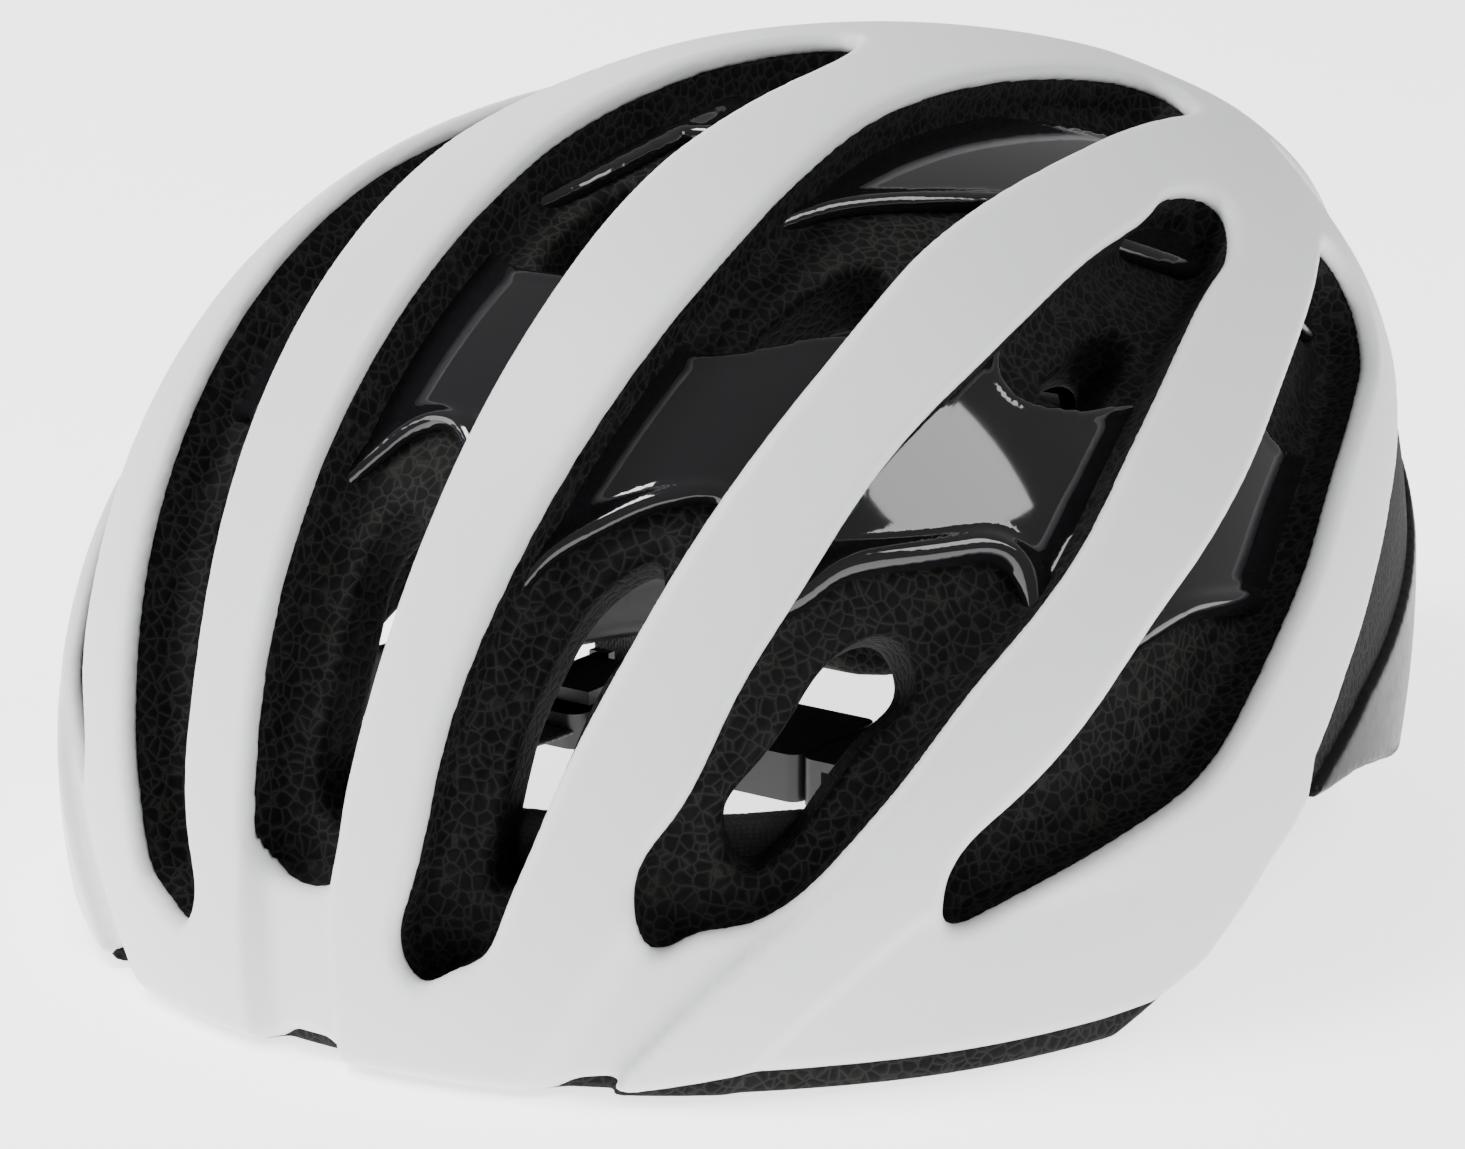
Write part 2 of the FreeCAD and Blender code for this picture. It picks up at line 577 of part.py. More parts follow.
# ---------------------------------------------------------------- dial case
channel = box("Channel", ("0", "rack_back", "band_level"),
              ("case_half * 2 + 4", "rack_thick + 0.3", "21.2"))
pinion_room = rod("PinionRoom", "tooth_module * (pinion_teeth / 2 + 2)",
                  ("0", "rack_back - pinion_thick / 2 - 0.2", "band_level"),
                  "pinion_thick + 0.4", "Y")
pinion_seat = rod("PinionSeat", "2 + run_gap", ("0", "case_front + 2", "band_level"), "6", "Y")


def case_half_block(name, front, back):
    """Half of the dial case, with its four upright corners rounded."""
    block = box(name + "_block", ("0", f"({front} + {back}) / 2", "band_level"),
                ("case_half * 2", f"{back} - {front}", "case_tall"))
    return rounded(name + "_body", block, 6, runs_along(AXIS_Y))


SCREW_SPOTS = [(x, z) for x in (-20, 20) for z in (-12.8, 12.8)]
screw_shanks = [rod(f"Shank{i}", "1", (str(x), "case_front + 1.5", f"band_level + {z}"), "10.3", "Y")
                for i, (x, z) in enumerate(SCREW_SPOTS)]
screw_heads = [rod(f"Head{i}", "1.8", (str(x), "case_back - 1.5", f"band_level + {z}"), "1.5", "Y")
               for i, (x, z) in enumerate(SCREW_SPOTS)]
screw_drives = [box(f"Drive{i}", (str(x), "case_back", f"band_level + {z}"), ("2.4", "0.8", "0.5"))
                for i, (x, z) in enumerate(SCREW_SPOTS)]
screws = [fuse(f"Screw{i}", shank, head) for i, (shank, head) in enumerate(zip(screw_shanks, screw_heads))]
all_screws = compound("Screws", *screws)
node("housing_screws", cut("HousingScrews", all_screws, *screw_drives))

housing_body = case_half_block("Housing", "case_front", "case_split")
node("cradle_housing", cut("CradleHousing", housing_body, channel, pinion_room, pinion_seat, all_screws))
cover_body = case_half_block("Cover", "case_split", "case_back")
shaft_bore = rod("ShaftBore", "shaft + run_gap", ("0", "rack_back", "band_level"), "10", "Y")
node("housing_cover", cut("HousingCover", cover_body, channel, pinion_room, shaft_bore, all_screws,
                          ladder_strip))

PAD_SPOT = 14
occiput = box("OcciputBlock", (str(PAD_SPOT), "case_front - 2.3", "band_level"), ("15", "4", "19"))
occiput_left = rounded("OcciputLeft", occiput, 1.5, lambda edge: edge.BoundBox.YMax < size("case_front") - 1)
node("occipital_pads", compound("OccipitalPads", occiput_left, mirrored("OcciputRight", occiput_left)))

# ---------------------------------------------------------------- dial
def turned(name, radius, front, back):
    """A round piece on the dial's axis."""
    return rod(name, radius, ("0", front, "band_level"), f"({back}) - ({front})", "Y")


def gear_outline():
    """Teeth at every pitch angle from straight up, tapering from root to tip."""
    teeth = int(size("pinion_teeth"))
    root, tip = PITCH_RADIUS - DEDENDUM, PITCH_RADIUS + ADDENDUM
    half = (PITCH / 2 - size("tooth_play")) / 2
    widths = [(root, half + 0.28 * MODULE), (PITCH_RADIUS, half), (tip, half - 0.42 * MODULE)]
    points = []
    for k in range(teeth):
        turn = math.pi / 2 - 2 * math.pi * k / teeth
        for side, profile in ((-1, widths), (1, reversed(widths))):
            for radius, reach in profile:
                angle = turn - side * reach / radius
                points.append(V(radius * math.cos(angle), 0, radius * math.sin(angle)))
    return Part.Face(Part.makePolygon(points + points[:1]))


pinion_front = V(0, size("rack_back") - size("pinion_thick") / 2, size("band_level"))
pinion_teeth = feature("PinionTeeth", gear_outline().extrude(V(0, size("pinion_thick"), 0)),
                       FreeCAD.Placement(pinion_front, FreeCAD.Rotation()))
SHAFT_END = "dial_front + 5.4"
pinion_shaft = turned("PinionShaft", "shaft", "rack_back", SHAFT_END)
pinion_stub = turned("PinionStub", "2", "case_front + 2.4", "rack_back")
screw_shank = turned("DialScrewShank", "1.2", "case_back - 1", "dial_back - 3")
screw_head = turned("DialScrewHead", "2.6", "dial_back - 3", "dial_back - 1")
screw_slot = box("DialScrewSlot", ("0", "dial_back - 1", "band_level"), ("3.6", "1", "0.8"))
pinion_whole = fuse("PinionWhole", pinion_teeth, pinion_shaft, pinion_stub)
node("dial_pinion", cut("DialPinion", pinion_whole, screw_shank))
node("dial_screw", cut("DialScrew", fuse("DialScrewWhole", screw_shank, screw_head), screw_slot))

WHEEL_HUB, WHEEL_INNER, WHEEL_OUTER, WHEEL_CLEAR = 5, 9.8, 11, 11.6
knob_blank = turned("KnobBlank", "knob", "dial_front", "dial_back")
knob_round = rounded("KnobRound", knob_blank, 1.2, lambda edge: edge.BoundBox.YMin > size("dial_back") - 0.1)
wheel_room = turned("WheelRoom", str(WHEEL_CLEAR), "dial_front - 1", "dial_front + 1.7")
head_room = turned("HeadRoom", "2.8", "dial_back - 3", "dial_back + 1")
knob_bore = turned("KnobBore", "shaft", "dial_front - 1", SHAFT_END)
node("dial_knob", cut("DialKnob", knob_round, wheel_room, head_room, knob_bore, screw_shank))

GRIP_SCALLOPS = 16
grip_blank = turned("GripBlank", "grip", "dial_front + 0.6", "dial_back - 0.8")
grip_core = turned("GripCore", "knob", "dial_front", "dial_back")
SCALLOP_RADIUS, SCALLOP_AT = 1.5, "(grip + 0.9)"
scallops = []
for k in range(GRIP_SCALLOPS):
    turn = 2 * math.pi * (k + 0.5) / GRIP_SCALLOPS
    across, high = math.cos(turn), math.sin(turn)
    spot = (f"{SCALLOP_AT} * {across:.5f}", "dial_front - 1", f"band_level + {SCALLOP_AT} * {high:.5f}")
    scallops.append(rod(f"Scallop{k}", str(SCALLOP_RADIUS), spot, "14", "Y"))
node("dial_grip", cut("DialGrip", grip_blank, grip_core, *scallops))

wheel_ring = cut("WheelRing", turned("WheelRim", str(WHEEL_OUTER), "dial_front + 0.2", "dial_front + 1.4"),
                 turned("WheelGap", str(WHEEL_INNER), "dial_front", "dial_front + 2"))
wheel_hub = turned("WheelHub", str(WHEEL_HUB), "dial_front + 0.2", "dial_front + 1.4")
SPOKES, SPOKE_SIZE = 3, (21, 1.2, 1.4)
spokes = []
for k in range(SPOKES):
    spoke = box(f"Spoke{k}", ("0", "dial_front + 0.8", "band_level"), [str(e) for e in SPOKE_SIZE])
    corner = FreeCAD.Rotation(AXIS_Y, 60 * k).multVec(V(*[-e / 2 for e in SPOKE_SIZE]))
    corner_text = (f"{corner.x:.5f}", f"dial_front + 0.8 + {corner.y:.5f}",
                   f"band_level + {corner.z:.5f}")
    spokes.append(place(spoke, *corner_text, axis=AXIS_Y, turn=60 * k))
node("detent_wheel", cut("DetentWheel", fuse("WheelWhole", wheel_ring, wheel_hub, *spokes), knob_bore))

# ---------------------------------------------------------------- straps and their dividers
def webbing(name, outline, tail=None):
    """Webbing that lies flat at strap_level, with an upright tail where it is anchored."""
    level, thick = size("strap_level") - size("webbing_thick") / 2, size("webbing_thick")
    corners = [V(x, y, level) for x, y in outline]
    flat = Part.Face(Part.makePolygon(corners + corners[:1])).extrude(V(0, 0, thick))
    return feature(name, flat.fuse(tail) if tail else flat)


divider_inner = size("divider_mid") - size("divider_long") / 2
divider_outer = size("divider_mid") + size("divider_long") / 2
divider_low = size("strap_line") - size("divider_wide") / 2
divider_high = size("strap_line") + size("divider_wide") / 2
front_x = FRONT_PLATE[0] - 0.1
front_strap = node("front_strap_left", webbing("FrontStrapLeft", [
    (divider_inner + 1, divider_low - 0.1), (divider_outer - 1, divider_low - 0.1),
    (front_x, FRONT_PLATE[1] + 7), (front_x, FRONT_PLATE[1] - 5), (front_x - 6, FRONT_PLATE[1] - 5)]))
node("front_strap_right", mirrored("FrontStrapRight", front_strap))

rear_x = REAR_PLATE[0] - 0.1
tail_low = size("strap_level") - size("webbing_thick") / 2
rear_tail = Part.makeBox(size("webbing_thick"), size("webbing_wide") - 2, REAR_PLATE[2] - tail_low,
                         V(rear_x - size("webbing_thick"), REAR_PLATE[1] - 6.5, tail_low))
rear_strap = node("rear_strap_left", webbing("RearStrapLeft", [
    (divider_outer - 1, divider_high + 0.1), (divider_inner + 1, divider_high + 0.1),
    (rear_x - 6, REAR_PLATE[1] + 6.5), (rear_x, REAR_PLATE[1] + 6.5), (rear_x, REAR_PLATE[1] - 6.5)],
    rear_tail))
node("rear_strap_right", mirrored("RearStrapRight", rear_strap))


def flat_strap(name, start, end):
    """A straight length of webbing between two expressions for x."""
    return box(name, (f"(({start}) + ({end})) / 2", "strap_line", "strap_level"),
               (f"({end}) - ({start})", "webbing_wide", "webbing_thick"))


node("chin_strap_left", flat_strap("ChinStrapLeft", "buckle_end + 0.2",
                                   "divider_mid - divider_long / 2 - 0.1"))
node("chin_strap_right", flat_strap("ChinStrapRight", "-divider_mid + divider_long / 2 - 2.5",
                                    "-buckle_end - 0.2"))

LEVER_LIFT = 2.1
HINGE_OFF = 5
hinge_x = f"divider_mid + {HINGE_OFF}"
hinge_z = f"strap_level + divider_tall / 2 + {LEVER_LIFT}"
divider_block = box("DividerBlock", ("divider_mid", "strap_line", "strap_level"),
                    ("divider_long", "divider_wide", "divider_tall"))
divider_round = rounded("DividerRound", divider_block, 3, runs_along(AXIS_Z))
divider_slot = box("DividerSlot", ("divider_mid", "strap_line", "strap_level"),
                   ("divider_long + 2", "webbing_wide + 0.6", "webbing_thick + 0.6"))
ears = [box(f"Ear{k}", (hinge_x, f"strap_line + {side} * 10.6", f"{hinge_z} - 0.4"),
            ("4.4", "1.8", "4.6")) for k, side in enumerate((-1, 1))]
lever_bore = rod("LeverBore", "lever_pin + run_gap", (hinge_x, "strap_line - 15", hinge_z),
                 "30", "Y")
divider_left = node("divider_left", cut("DividerLeft", fuse("DividerWhole", divider_round, *ears),
                                        divider_slot, lever_bore))
node("divider_right", mirrored("DividerRight", divider_left))
lever_plate = box("LeverPlate", (f"{hinge_x} - 6", "strap_line", hinge_z), ("12", "18.6", "2.4"))
lever_root = rod("LeverRoot", "1.9", (hinge_x, "strap_line - 9.3", hinge_z), "18.6", "Y")
lever_axle = rod("LeverAxle", "lever_pin", (hinge_x, "strap_line - 11.5", hinge_z), "23", "Y")
lever_left = node("divider_lever_left", fuse("DividerLeverLeft", lever_plate, lever_root, lever_axle))
node("divider_lever_right", mirrored("DividerLeverRight", lever_left))

# ---------------------------------------------------------------- buckle and keeper
buckle_middle = ("strap_line", "strap_level")


def buckle_box(name, start, end, wide, tall):
    """A block of the buckle between two expressions for x."""
    return box(name, (f"(({start}) + ({end})) / 2", *buckle_middle),
               (f"({end}) - ({start})", wide, tall))


female_block = rounded("FemaleBlock", buckle_box("FemaleBlank", "0", "buckle_end", "buckle_wide",
                                                 "buckle_tall"), 2.5, runs_along(AXIS_Z))
female_mouth = buckle_box("FemaleMouth", "-1", "13.5", "buckle_wide - 6", "buckle_tall - 3.6")
female_sides = buckle_box("FemaleWindows", "4.5", "11.5", "buckle_wide + 2", "buckle_tall - 3.6")
female_loop = buckle_box("FemaleLoop", "buckle_end - 7", "buckle_end - 3.4", "webbing_wide + 1",
                         "buckle_tall + 2")
node("buckle_female", cut("BuckleFemale", female_block, female_mouth, female_sides, female_loop))

male_block = rounded("MaleBlock", buckle_box("MaleBlank", "-buckle_end", "-0.4", "buckle_wide",
                                             "buckle_tall"), 2.5, runs_along(AXIS_Z))
male_loop = buckle_box("MaleLoop", "-buckle_end + 3.4", "-buckle_end + 7", "webbing_wide + 1",
                       "buckle_tall + 2")
guide = buckle_box("Guide", "-1", "plug_reach + 1", "4", "3.4")
prongs = []
for side in (-1, 1):
    prongs.append(box(f"Prong{side}", ("plug_reach / 2 - 0.5", f"strap_line + {side} * 7.6",
                                       "strap_level"), ("plug_reach + 1", "2.2", "3.6")))
    prongs.append(box(f"Barb{side}", ("plug_reach - 2", f"strap_line + {side} * 8.2",
                                      "strap_level"), ("4", "2.2", "3.6")))
node("buckle_male", cut("BuckleMale", fuse("MaleWhole", male_block, guide, *prongs), male_loop))

keeper_ring = box("KeeperRing", ("keeper_at", *buckle_middle), ("5", "webbing_wide + 3.4", "4.2"))
keeper_round = rounded("KeeperRound", keeper_ring, 1.2, runs_along(AXIS_X))
keeper_hole = box("KeeperHole", ("keeper_at", *buckle_middle), ("7", "webbing_wide + 0.6", "1.6"))
node("strap_keeper", cut("StrapKeeper", keeper_round, keeper_hole))

# ---------------------------------------------------------------- checks and export
doc.recompute()
for item in doc.Objects:
    if "Invalid" in item.State or "Error" in item.State:
        raise RuntimeError(f"{item.Name} is {item.State}")
for item in NODES:
    if item.Shape.isNull() or not item.Shape.isValid():
        raise RuntimeError(f"{item.Label} has no valid shape")
for item in NODES:
    item.Shape.exportStep(f"parts/{item.Label}.step")
print(len(NODES), "sub-parts written")
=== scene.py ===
import json
import math

import bpy
import numpy as np
import openvdb
from mathutils import Matrix, Vector


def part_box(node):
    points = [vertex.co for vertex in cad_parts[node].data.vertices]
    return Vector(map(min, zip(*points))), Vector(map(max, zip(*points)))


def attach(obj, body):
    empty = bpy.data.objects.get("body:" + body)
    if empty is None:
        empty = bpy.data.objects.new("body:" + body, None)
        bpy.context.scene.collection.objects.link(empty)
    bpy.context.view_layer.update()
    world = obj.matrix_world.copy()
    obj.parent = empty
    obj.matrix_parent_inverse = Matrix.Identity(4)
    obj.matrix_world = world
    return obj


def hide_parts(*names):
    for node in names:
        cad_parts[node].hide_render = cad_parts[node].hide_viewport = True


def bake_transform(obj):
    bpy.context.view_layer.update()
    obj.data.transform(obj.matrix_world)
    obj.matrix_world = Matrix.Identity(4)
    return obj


# Cycling helmet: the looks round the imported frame. Work in millimetres, objects in metres.
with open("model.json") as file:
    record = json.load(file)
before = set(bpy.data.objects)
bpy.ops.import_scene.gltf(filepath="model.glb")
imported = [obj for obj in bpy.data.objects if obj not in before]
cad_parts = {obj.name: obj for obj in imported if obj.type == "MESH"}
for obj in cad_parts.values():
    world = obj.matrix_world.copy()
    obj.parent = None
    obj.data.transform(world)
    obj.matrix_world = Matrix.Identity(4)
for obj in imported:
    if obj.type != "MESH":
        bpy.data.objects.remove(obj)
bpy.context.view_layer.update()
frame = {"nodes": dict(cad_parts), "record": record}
MM = 0.001
HALF = math.sqrt(0.5)

# ---------------------------------------------------------------- camera, floor and light


def aimed(name, spot, target, data):
    """A camera or light at a spot, turned to look at a target."""
    item = bpy.data.objects.new(name, data)
    bpy.context.scene.collection.objects.link(item)
    item.location = spot
    item.rotation_euler = (Vector(target) - Vector(spot)).to_track_quat("-Z", "Y").to_euler()
    return item


TARGET = Vector((0, -0.0241, 0.0486))
AZIMUTH, ELEVATION, DISTANCE = math.radians(35.25), math.radians(15.95), 0.801
toward = Vector((math.sin(AZIMUTH) * math.cos(ELEVATION), -math.cos(AZIMUTH) * math.cos(ELEVATION),
                 math.sin(ELEVATION)))
lens = bpy.data.cameras.new("camera")
lens.lens, lens.sensor_width = 119.6, 36
lens.clip_start, lens.clip_end = 0.05, 20
bpy.context.scene.camera = aimed("camera", TARGET + toward * DISTANCE, TARGET, lens)


def soft_box(name, spot, target, size, power):
    light = bpy.data.lights.new(name, "AREA")
    light.shape, light.size, light.size_y, light.energy = "RECTANGLE", size[0], size[1], power
    return aimed(name, spot, target, light)


soft_box("top_box", (-0.3, -0.36, 1.0), (0, 0, 0.05), (0.34, 0.34), 11)
soft_box("left_box", (-0.75, -0.95, 0.55), (0, 0, 0.06), (0.8, 0.9), 13)
soft_box("side_box", (0.9, 0.14, 0.95), (0, 0, 0.08), (0.55, 0.5), 7)
soft_box("back_box", (-1.0, 0.7, 0.6), (0, 0, 0.06), (0.7, 0.5), 5)


def node_material(name):
    mat = bpy.data.materials.new(name)
    mat.use_nodes = True
    tree = mat.node_tree
    shader = tree.nodes["Principled BSDF"]
    return mat, tree, shader


world = bpy.data.worlds.new("studio")
world.use_nodes = True
world.node_tree.nodes["Background"].inputs["Color"].default_value = (1, 1, 1, 1)
world.node_tree.nodes["Background"].inputs["Strength"].default_value = 0.34
bpy.context.scene.world = world

floor_mesh = bpy.data.meshes.new("floor")
FLOOR_HALF, UNDER = 3, -0.0008
corners = [(FLOOR_HALF * a, FLOOR_HALF * b, UNDER) for a, b in ((-1, -1), (1, -1), (1, 1), (-1, 1))]
floor_mesh.from_pydata(corners, [], [(0, 1, 2, 3)])
floor = bpy.data.objects.new("floor", floor_mesh)
bpy.context.scene.collection.objects.link(floor)
floor_paint, _, floor_shader = node_material("floor")
floor_shader.inputs["Base Color"].default_value = (0.9, 0.9, 0.9, 1)
floor_shader.inputs["Roughness"].default_value = 0.9
floor_shader.inputs["Emission Color"].default_value = (1, 1, 1, 1)
floor_shader.inputs["Emission Strength"].default_value = 2.3
floor_mesh.materials.append(floor_paint)


# ---------------------------------------------------------------- materials


class Paint:
    """A node material and the few node patterns that the surfaces here are made of."""

    def __init__(self, name, roughness, metallic=0.0, coat=0.0, sheen=0.0):
        self.mat, self.tree, self.shader = node_material(name)
        self.set("Roughness", roughness)
        self.set("Metallic", metallic)
        self.set("Coat Weight", coat)
        self.set("Sheen Weight", sheen)
        self.where = self.add("ShaderNodeTexCoord").outputs["Object"]
        self.bump = None

    def set(self, socket, value):
        self.shader.inputs[socket].default_value = value

    def add(self, kind, **inputs):
        node = self.tree.nodes.new(kind)
        for key, value in inputs.items():
            socket = node.inputs[key.replace("_", " ")]
            if hasattr(value, "is_output"):
                self.tree.links.new(value, socket)
            else:
                socket.default_value = value
        return node

    def noise(self, scale, detail=3, where=None):
        made = self.add("ShaderNodeTexNoise", Vector=where or self.where, Scale=scale, Detail=detail)
        return made.outputs["Fac"]

    def cells(self, scale, feature="F1", jitter=1.0, where=None):
        node = self.tree.nodes.new("ShaderNodeTexVoronoi")
        node.feature = feature
        self.tree.links.new(where or self.where, node.inputs["Vector"])
        node.inputs["Scale"].default_value = scale
        node.inputs["Randomness"].default_value = jitter
        return node.outputs["Distance"]

    def ramp(self, value, *stops):
        node = self.add("ShaderNodeValToRGB", Fac=value)
        elements = node.color_ramp.elements
        while len(elements) < len(stops):
            elements.new(0.5)
        for element, (spot, colour) in zip(elements, stops):
            element.position = spot
            element.color = (*colour, 1) if hasattr(colour, "__len__") else (colour,) * 3 + (1,)
        return node.outputs["Color"]

    def span(self, value, low, high):
        """Map 0..1 to a low..high range."""
        made = self.add("ShaderNodeMapRange", Value=value)
        made.inputs["To Min"].default_value, made.inputs["To Max"].default_value = low, high
        return made.outputs["Result"]

    def maths(self, operation, a, b=0.0):
        node = self.tree.nodes.new("ShaderNodeMath")
        node.operation = operation
        for socket, value in zip(node.inputs, (a, b)):
            if hasattr(value, "is_output"):
                self.tree.links.new(value, socket)
            else:
                socket.default_value = value
        return node.outputs[0]

    def mix(self, share, a, b):
        node = self.tree.nodes.new("ShaderNodeMix")
        node.data_type = "RGBA"
        for key, value in ((0, share), (6, a), (7, b)):
            if hasattr(value, "is_output"):
                self.tree.links.new(value, node.inputs[key])
            else:
                node.inputs[key].default_value = value
        return node.outputs[2]

    def colour(self, value):
        self.tree.links.new(value, self.shader.inputs["Base Color"])
        return self

    def rough(self, value):
        self.tree.links.new(value, self.shader.inputs["Roughness"])
        return self

    def raised(self, height, distance, strength=1.0):
        """Bump from a height, in metres; later calls stack on earlier ones."""
        node = self.add("ShaderNodeBump", Height=height, Strength=strength, Distance=distance)
        if self.bump is not None:
            self.tree.links.new(self.bump, node.inputs["Normal"])
        self.bump = node.outputs["Normal"]
        self.tree.links.new(self.bump, self.shader.inputs["Normal"])
        return self


def white_skin():
    p = Paint("white_skin", 0.5)
    tone = p.noise(35, 4)
    specks = p.ramp(p.noise(2600, 2), (0.36, 0.97), (0.5, 1.0))
    p.colour(p.mix(tone, (0.67, 0.68, 0.695, 1), (0.705, 0.71, 0.72, 1)))
    p.rough(p.span(p.noise(900, 3), 0.42, 0.56))
    p.raised(p.noise(5200, 2), 0.00003, 0.35)
    p.raised(specks, 0.00002, 0.5)
    return p.mat


def bead_foam():
    p = Paint("bead_foam", 0.5)
    p.set("Specular IOR Level", 0.12)
    warp = p.add("ShaderNodeMixRGB", Fac=0.0008, Color1=p.where)
    p.tree.links.new(p.add("ShaderNodeTexNoise", Vector=p.where, Scale=330.0).outputs["Color"],
                     warp.inputs["Color2"])
    edge = p.cells(500, "DISTANCE_TO_EDGE", where=warp.outputs[0])
    blotch = p.ramp(p.noise(170, 4), (0.36, 0.0), (0.62, 1.0))
    web = p.ramp(edge, (0.0, 1.0), (0.07, 0.35), (0.2, 0.0))
    core = p.mix(blotch, (0.0015, 0.0015, 0.0014, 1), (0.004, 0.0039, 0.0037, 1))
    p.colour(p.mix(web, core, (0.02, 0.0195, 0.0185, 1)))
    p.rough(p.span(edge, 0.8, 0.6))
    p.raised(p.ramp(edge, (0.0, 0.0), (0.25, 1.0)), 0.0002, 0.55)
    p.raised(p.noise(2400, 2), 0.00006, 0.4)
    return p.mat


def gloss_skin(name, tint, roughness, coat, shine):
    p = Paint(name, roughness, coat=coat)
    p.set("Coat Roughness", 0.03)
    p.set("Specular IOR Level", shine)
    p.colour(p.mix(p.noise(60, 3), (*[t * 0.85 for t in tint], 1), (*[t * 1.15 for t in tint], 1)))
    p.rough(p.span(p.noise(420, 4), roughness * 0.8, roughness * 1.3))
    p.raised(p.noise(45, 1), 0.00006, 0.1)
    return p.mat


WHITE, FOAM = white_skin(), bead_foam()
BRIDGE = gloss_skin("gloss_hoop", (0.006, 0.006, 0.007), 0.06, 0.3, 0.5)
NAPE = gloss_skin("gloss_nape", (0.008, 0.008, 0.0085), 0.3, 0.0, 0.06)


def knit_cloth():
    """Fine brushed knit over foam: small cells in rows, with a soft sheen."""
    p = Paint("pad_cloth", 0.85, sheen=0.35)
    p.set("Sheen Roughness", 0.4)
    loops = p.cells(1500, jitter=0.25)
    tone = p.mix(p.noise(90, 4), (0.012, 0.012, 0.014, 1), (0.026, 0.026, 0.029, 1))
    p.colour(p.mix(p.ramp(loops, (0.25, 0.0), (0.6, 0.5)), tone, (0.006, 0.006, 0.007, 1)))
    p.rough(p.span(p.noise(700, 3), 0.78, 0.95))
    p.raised(loops, 0.0003, 0.6)
    p.raised(p.noise(420, 3), 0.0003, 0.3)
    return p.mat


def woven_web():
    """Chevron webbing: its UV map is millimetres across and along."""
    p = Paint("webbing", 0.7, sheen=0.25)
    split = p.add("ShaderNodeSeparateXYZ", Vector=p.tree.nodes["Texture Coordinate"].outputs["UV"])
    aside, along = p.maths("ABSOLUTE", split.outputs["X"]), split.outputs["Y"]
    slope = p.maths("ADD", p.maths("MULTIPLY", along, 4.2), p.maths("MULTIPLY", aside, 2.6))
    rows = p.span(p.maths("SINE", slope), 0, 1)
    ends = p.span(p.maths("SINE", p.maths("MULTIPLY", split.outputs["X"], 7.0)), 0, 1)
    weave = p.maths("MULTIPLY", p.maths("ADD", rows, 1.0), p.maths("ADD", ends, 1.4))
    tone = p.mix(p.noise(120, 3), (0.012, 0.012, 0.013, 1), (0.028, 0.028, 0.031, 1))
    p.colour(p.mix(p.span(weave, 0, 0.28), tone, (0.06, 0.06, 0.065, 1)))
    p.rough(p.span(p.noise(900, 3), 0.6, 0.82))
    p.raised(weave, 0.00022, 0.6)
    p.raised(p.noise(3000, 2), 0.00006, 0.4)
    return p.mat


def plastic(name, dark, light, roughness, grain=2200, depth=0.00004, metallic=0.0):
    """Moulded plastic: slow colour drift, fine mould grain and a rubbed, uneven polish."""
    p = Paint(name, roughness, metallic)
    p.colour(p.mix(p.noise(140, 4), (*dark, 1), (*light, 1)))
    p.rough(p.span(p.noise(600, 4), roughness * 0.8, roughness * 1.25))
    p.raised(p.noise(grain, 3), depth, 0.6)
    p.raised(p.noise(90, 2), 0.0001, 0.15)
    return p.mat


def grey(level):
    return (level, level, level * 1.04)


CLOTH, WEBBING = knit_cloth(), woven_web()
NYLON = plastic("band_nylon", grey(0.016), grey(0.026), 0.42)
CASE = plastic("case_nylon", grey(0.02), grey(0.032), 0.45, grain=1500, depth=0.00008)
ANCHOR = plastic("anchor_plastic", grey(0.02), grey(0.034), 0.5)
ACETAL = plastic("fitting_acetal", grey(0.013), grey(0.022), 0.32)
KNOB = plastic("knob_plastic", grey(0.028), grey(0.042), 0.28)
RUBBER = plastic("soft_rubber", grey(0.016), grey(0.024), 0.8, grain=3000, depth=0.00009)
GEAR = plastic("gear_acetal", (0.5, 0.5, 0.47), (0.62, 0.61, 0.58), 0.36)
STEEL = plastic("screw_steel", (0.42, 0.42, 0.43), (0.58, 0.58, 0.58), 0.3, metallic=1.0)

# ---------------------------------------------------------------- the domes, as fields
CENTRE = np.array([0.0, -22.6, 22.5])


class Dome:
    """A superellipsoid pitched up towards the tail, with the CAD dome's own sizes."""

    def __init__(self, side, crown, front, tail, powers, pitch, tuck=0.0):
        self.sizes, self.powers = (side, crown, front, tail), powers
        self.pitch, self.tuck = pitch, tuck

    def inset(self, depth):
        return Dome(*[s - depth for s in self.sizes], self.powers, self.pitch, self.tuck)

    def field(self, p):
        """Level (1 on the surface), distance outwards and unit normal at each point."""
        side, crown, front, tail = self.sizes
        front_power, tail_power, n = self.powers
        c, s = math.cos(math.radians(self.pitch)), math.sin(math.radians(self.pitch))
        x, y, z = p[:, 0], p[:, 1] - CENTRE[1], p[:, 2] - CENTRE[2]
        along, up = y * c + z * s, z * c - y * s
        ahead = along < 0
        reach = np.where(ahead, front, tail)
        q = np.where(ahead, front_power, tail_power)
        tall = crown * np.where(up < 0, 1 - self.tuck * np.clip(along, 0, None) / tail, 1.0)
        a, b = np.abs(x) / side + 1e-9, np.abs(up) / tall + 1e-9
        ring = (a ** n + b ** n) ** (1 / n)
        w = np.abs(along) / reach + 1e-9
        level = (ring ** q + w ** q) ** (1 / q)
        outer = (ring / level) ** (q - 1)
        gx = outer * (a / ring) ** (n - 1) / side * np.sign(x)
        gu = outer * (b / ring) ** (n - 1) / tall * np.sign(up)
        ga = (w / level) ** (q - 1) / reach * np.sign(along)
        steep = np.sqrt(gx * gx + gu * gu + ga * ga)
        normal = np.stack([gx, ga * c - gu * s, ga * s + gu * c], 1) / steep[:, None]
        return level, (level - 1) / steep, normal


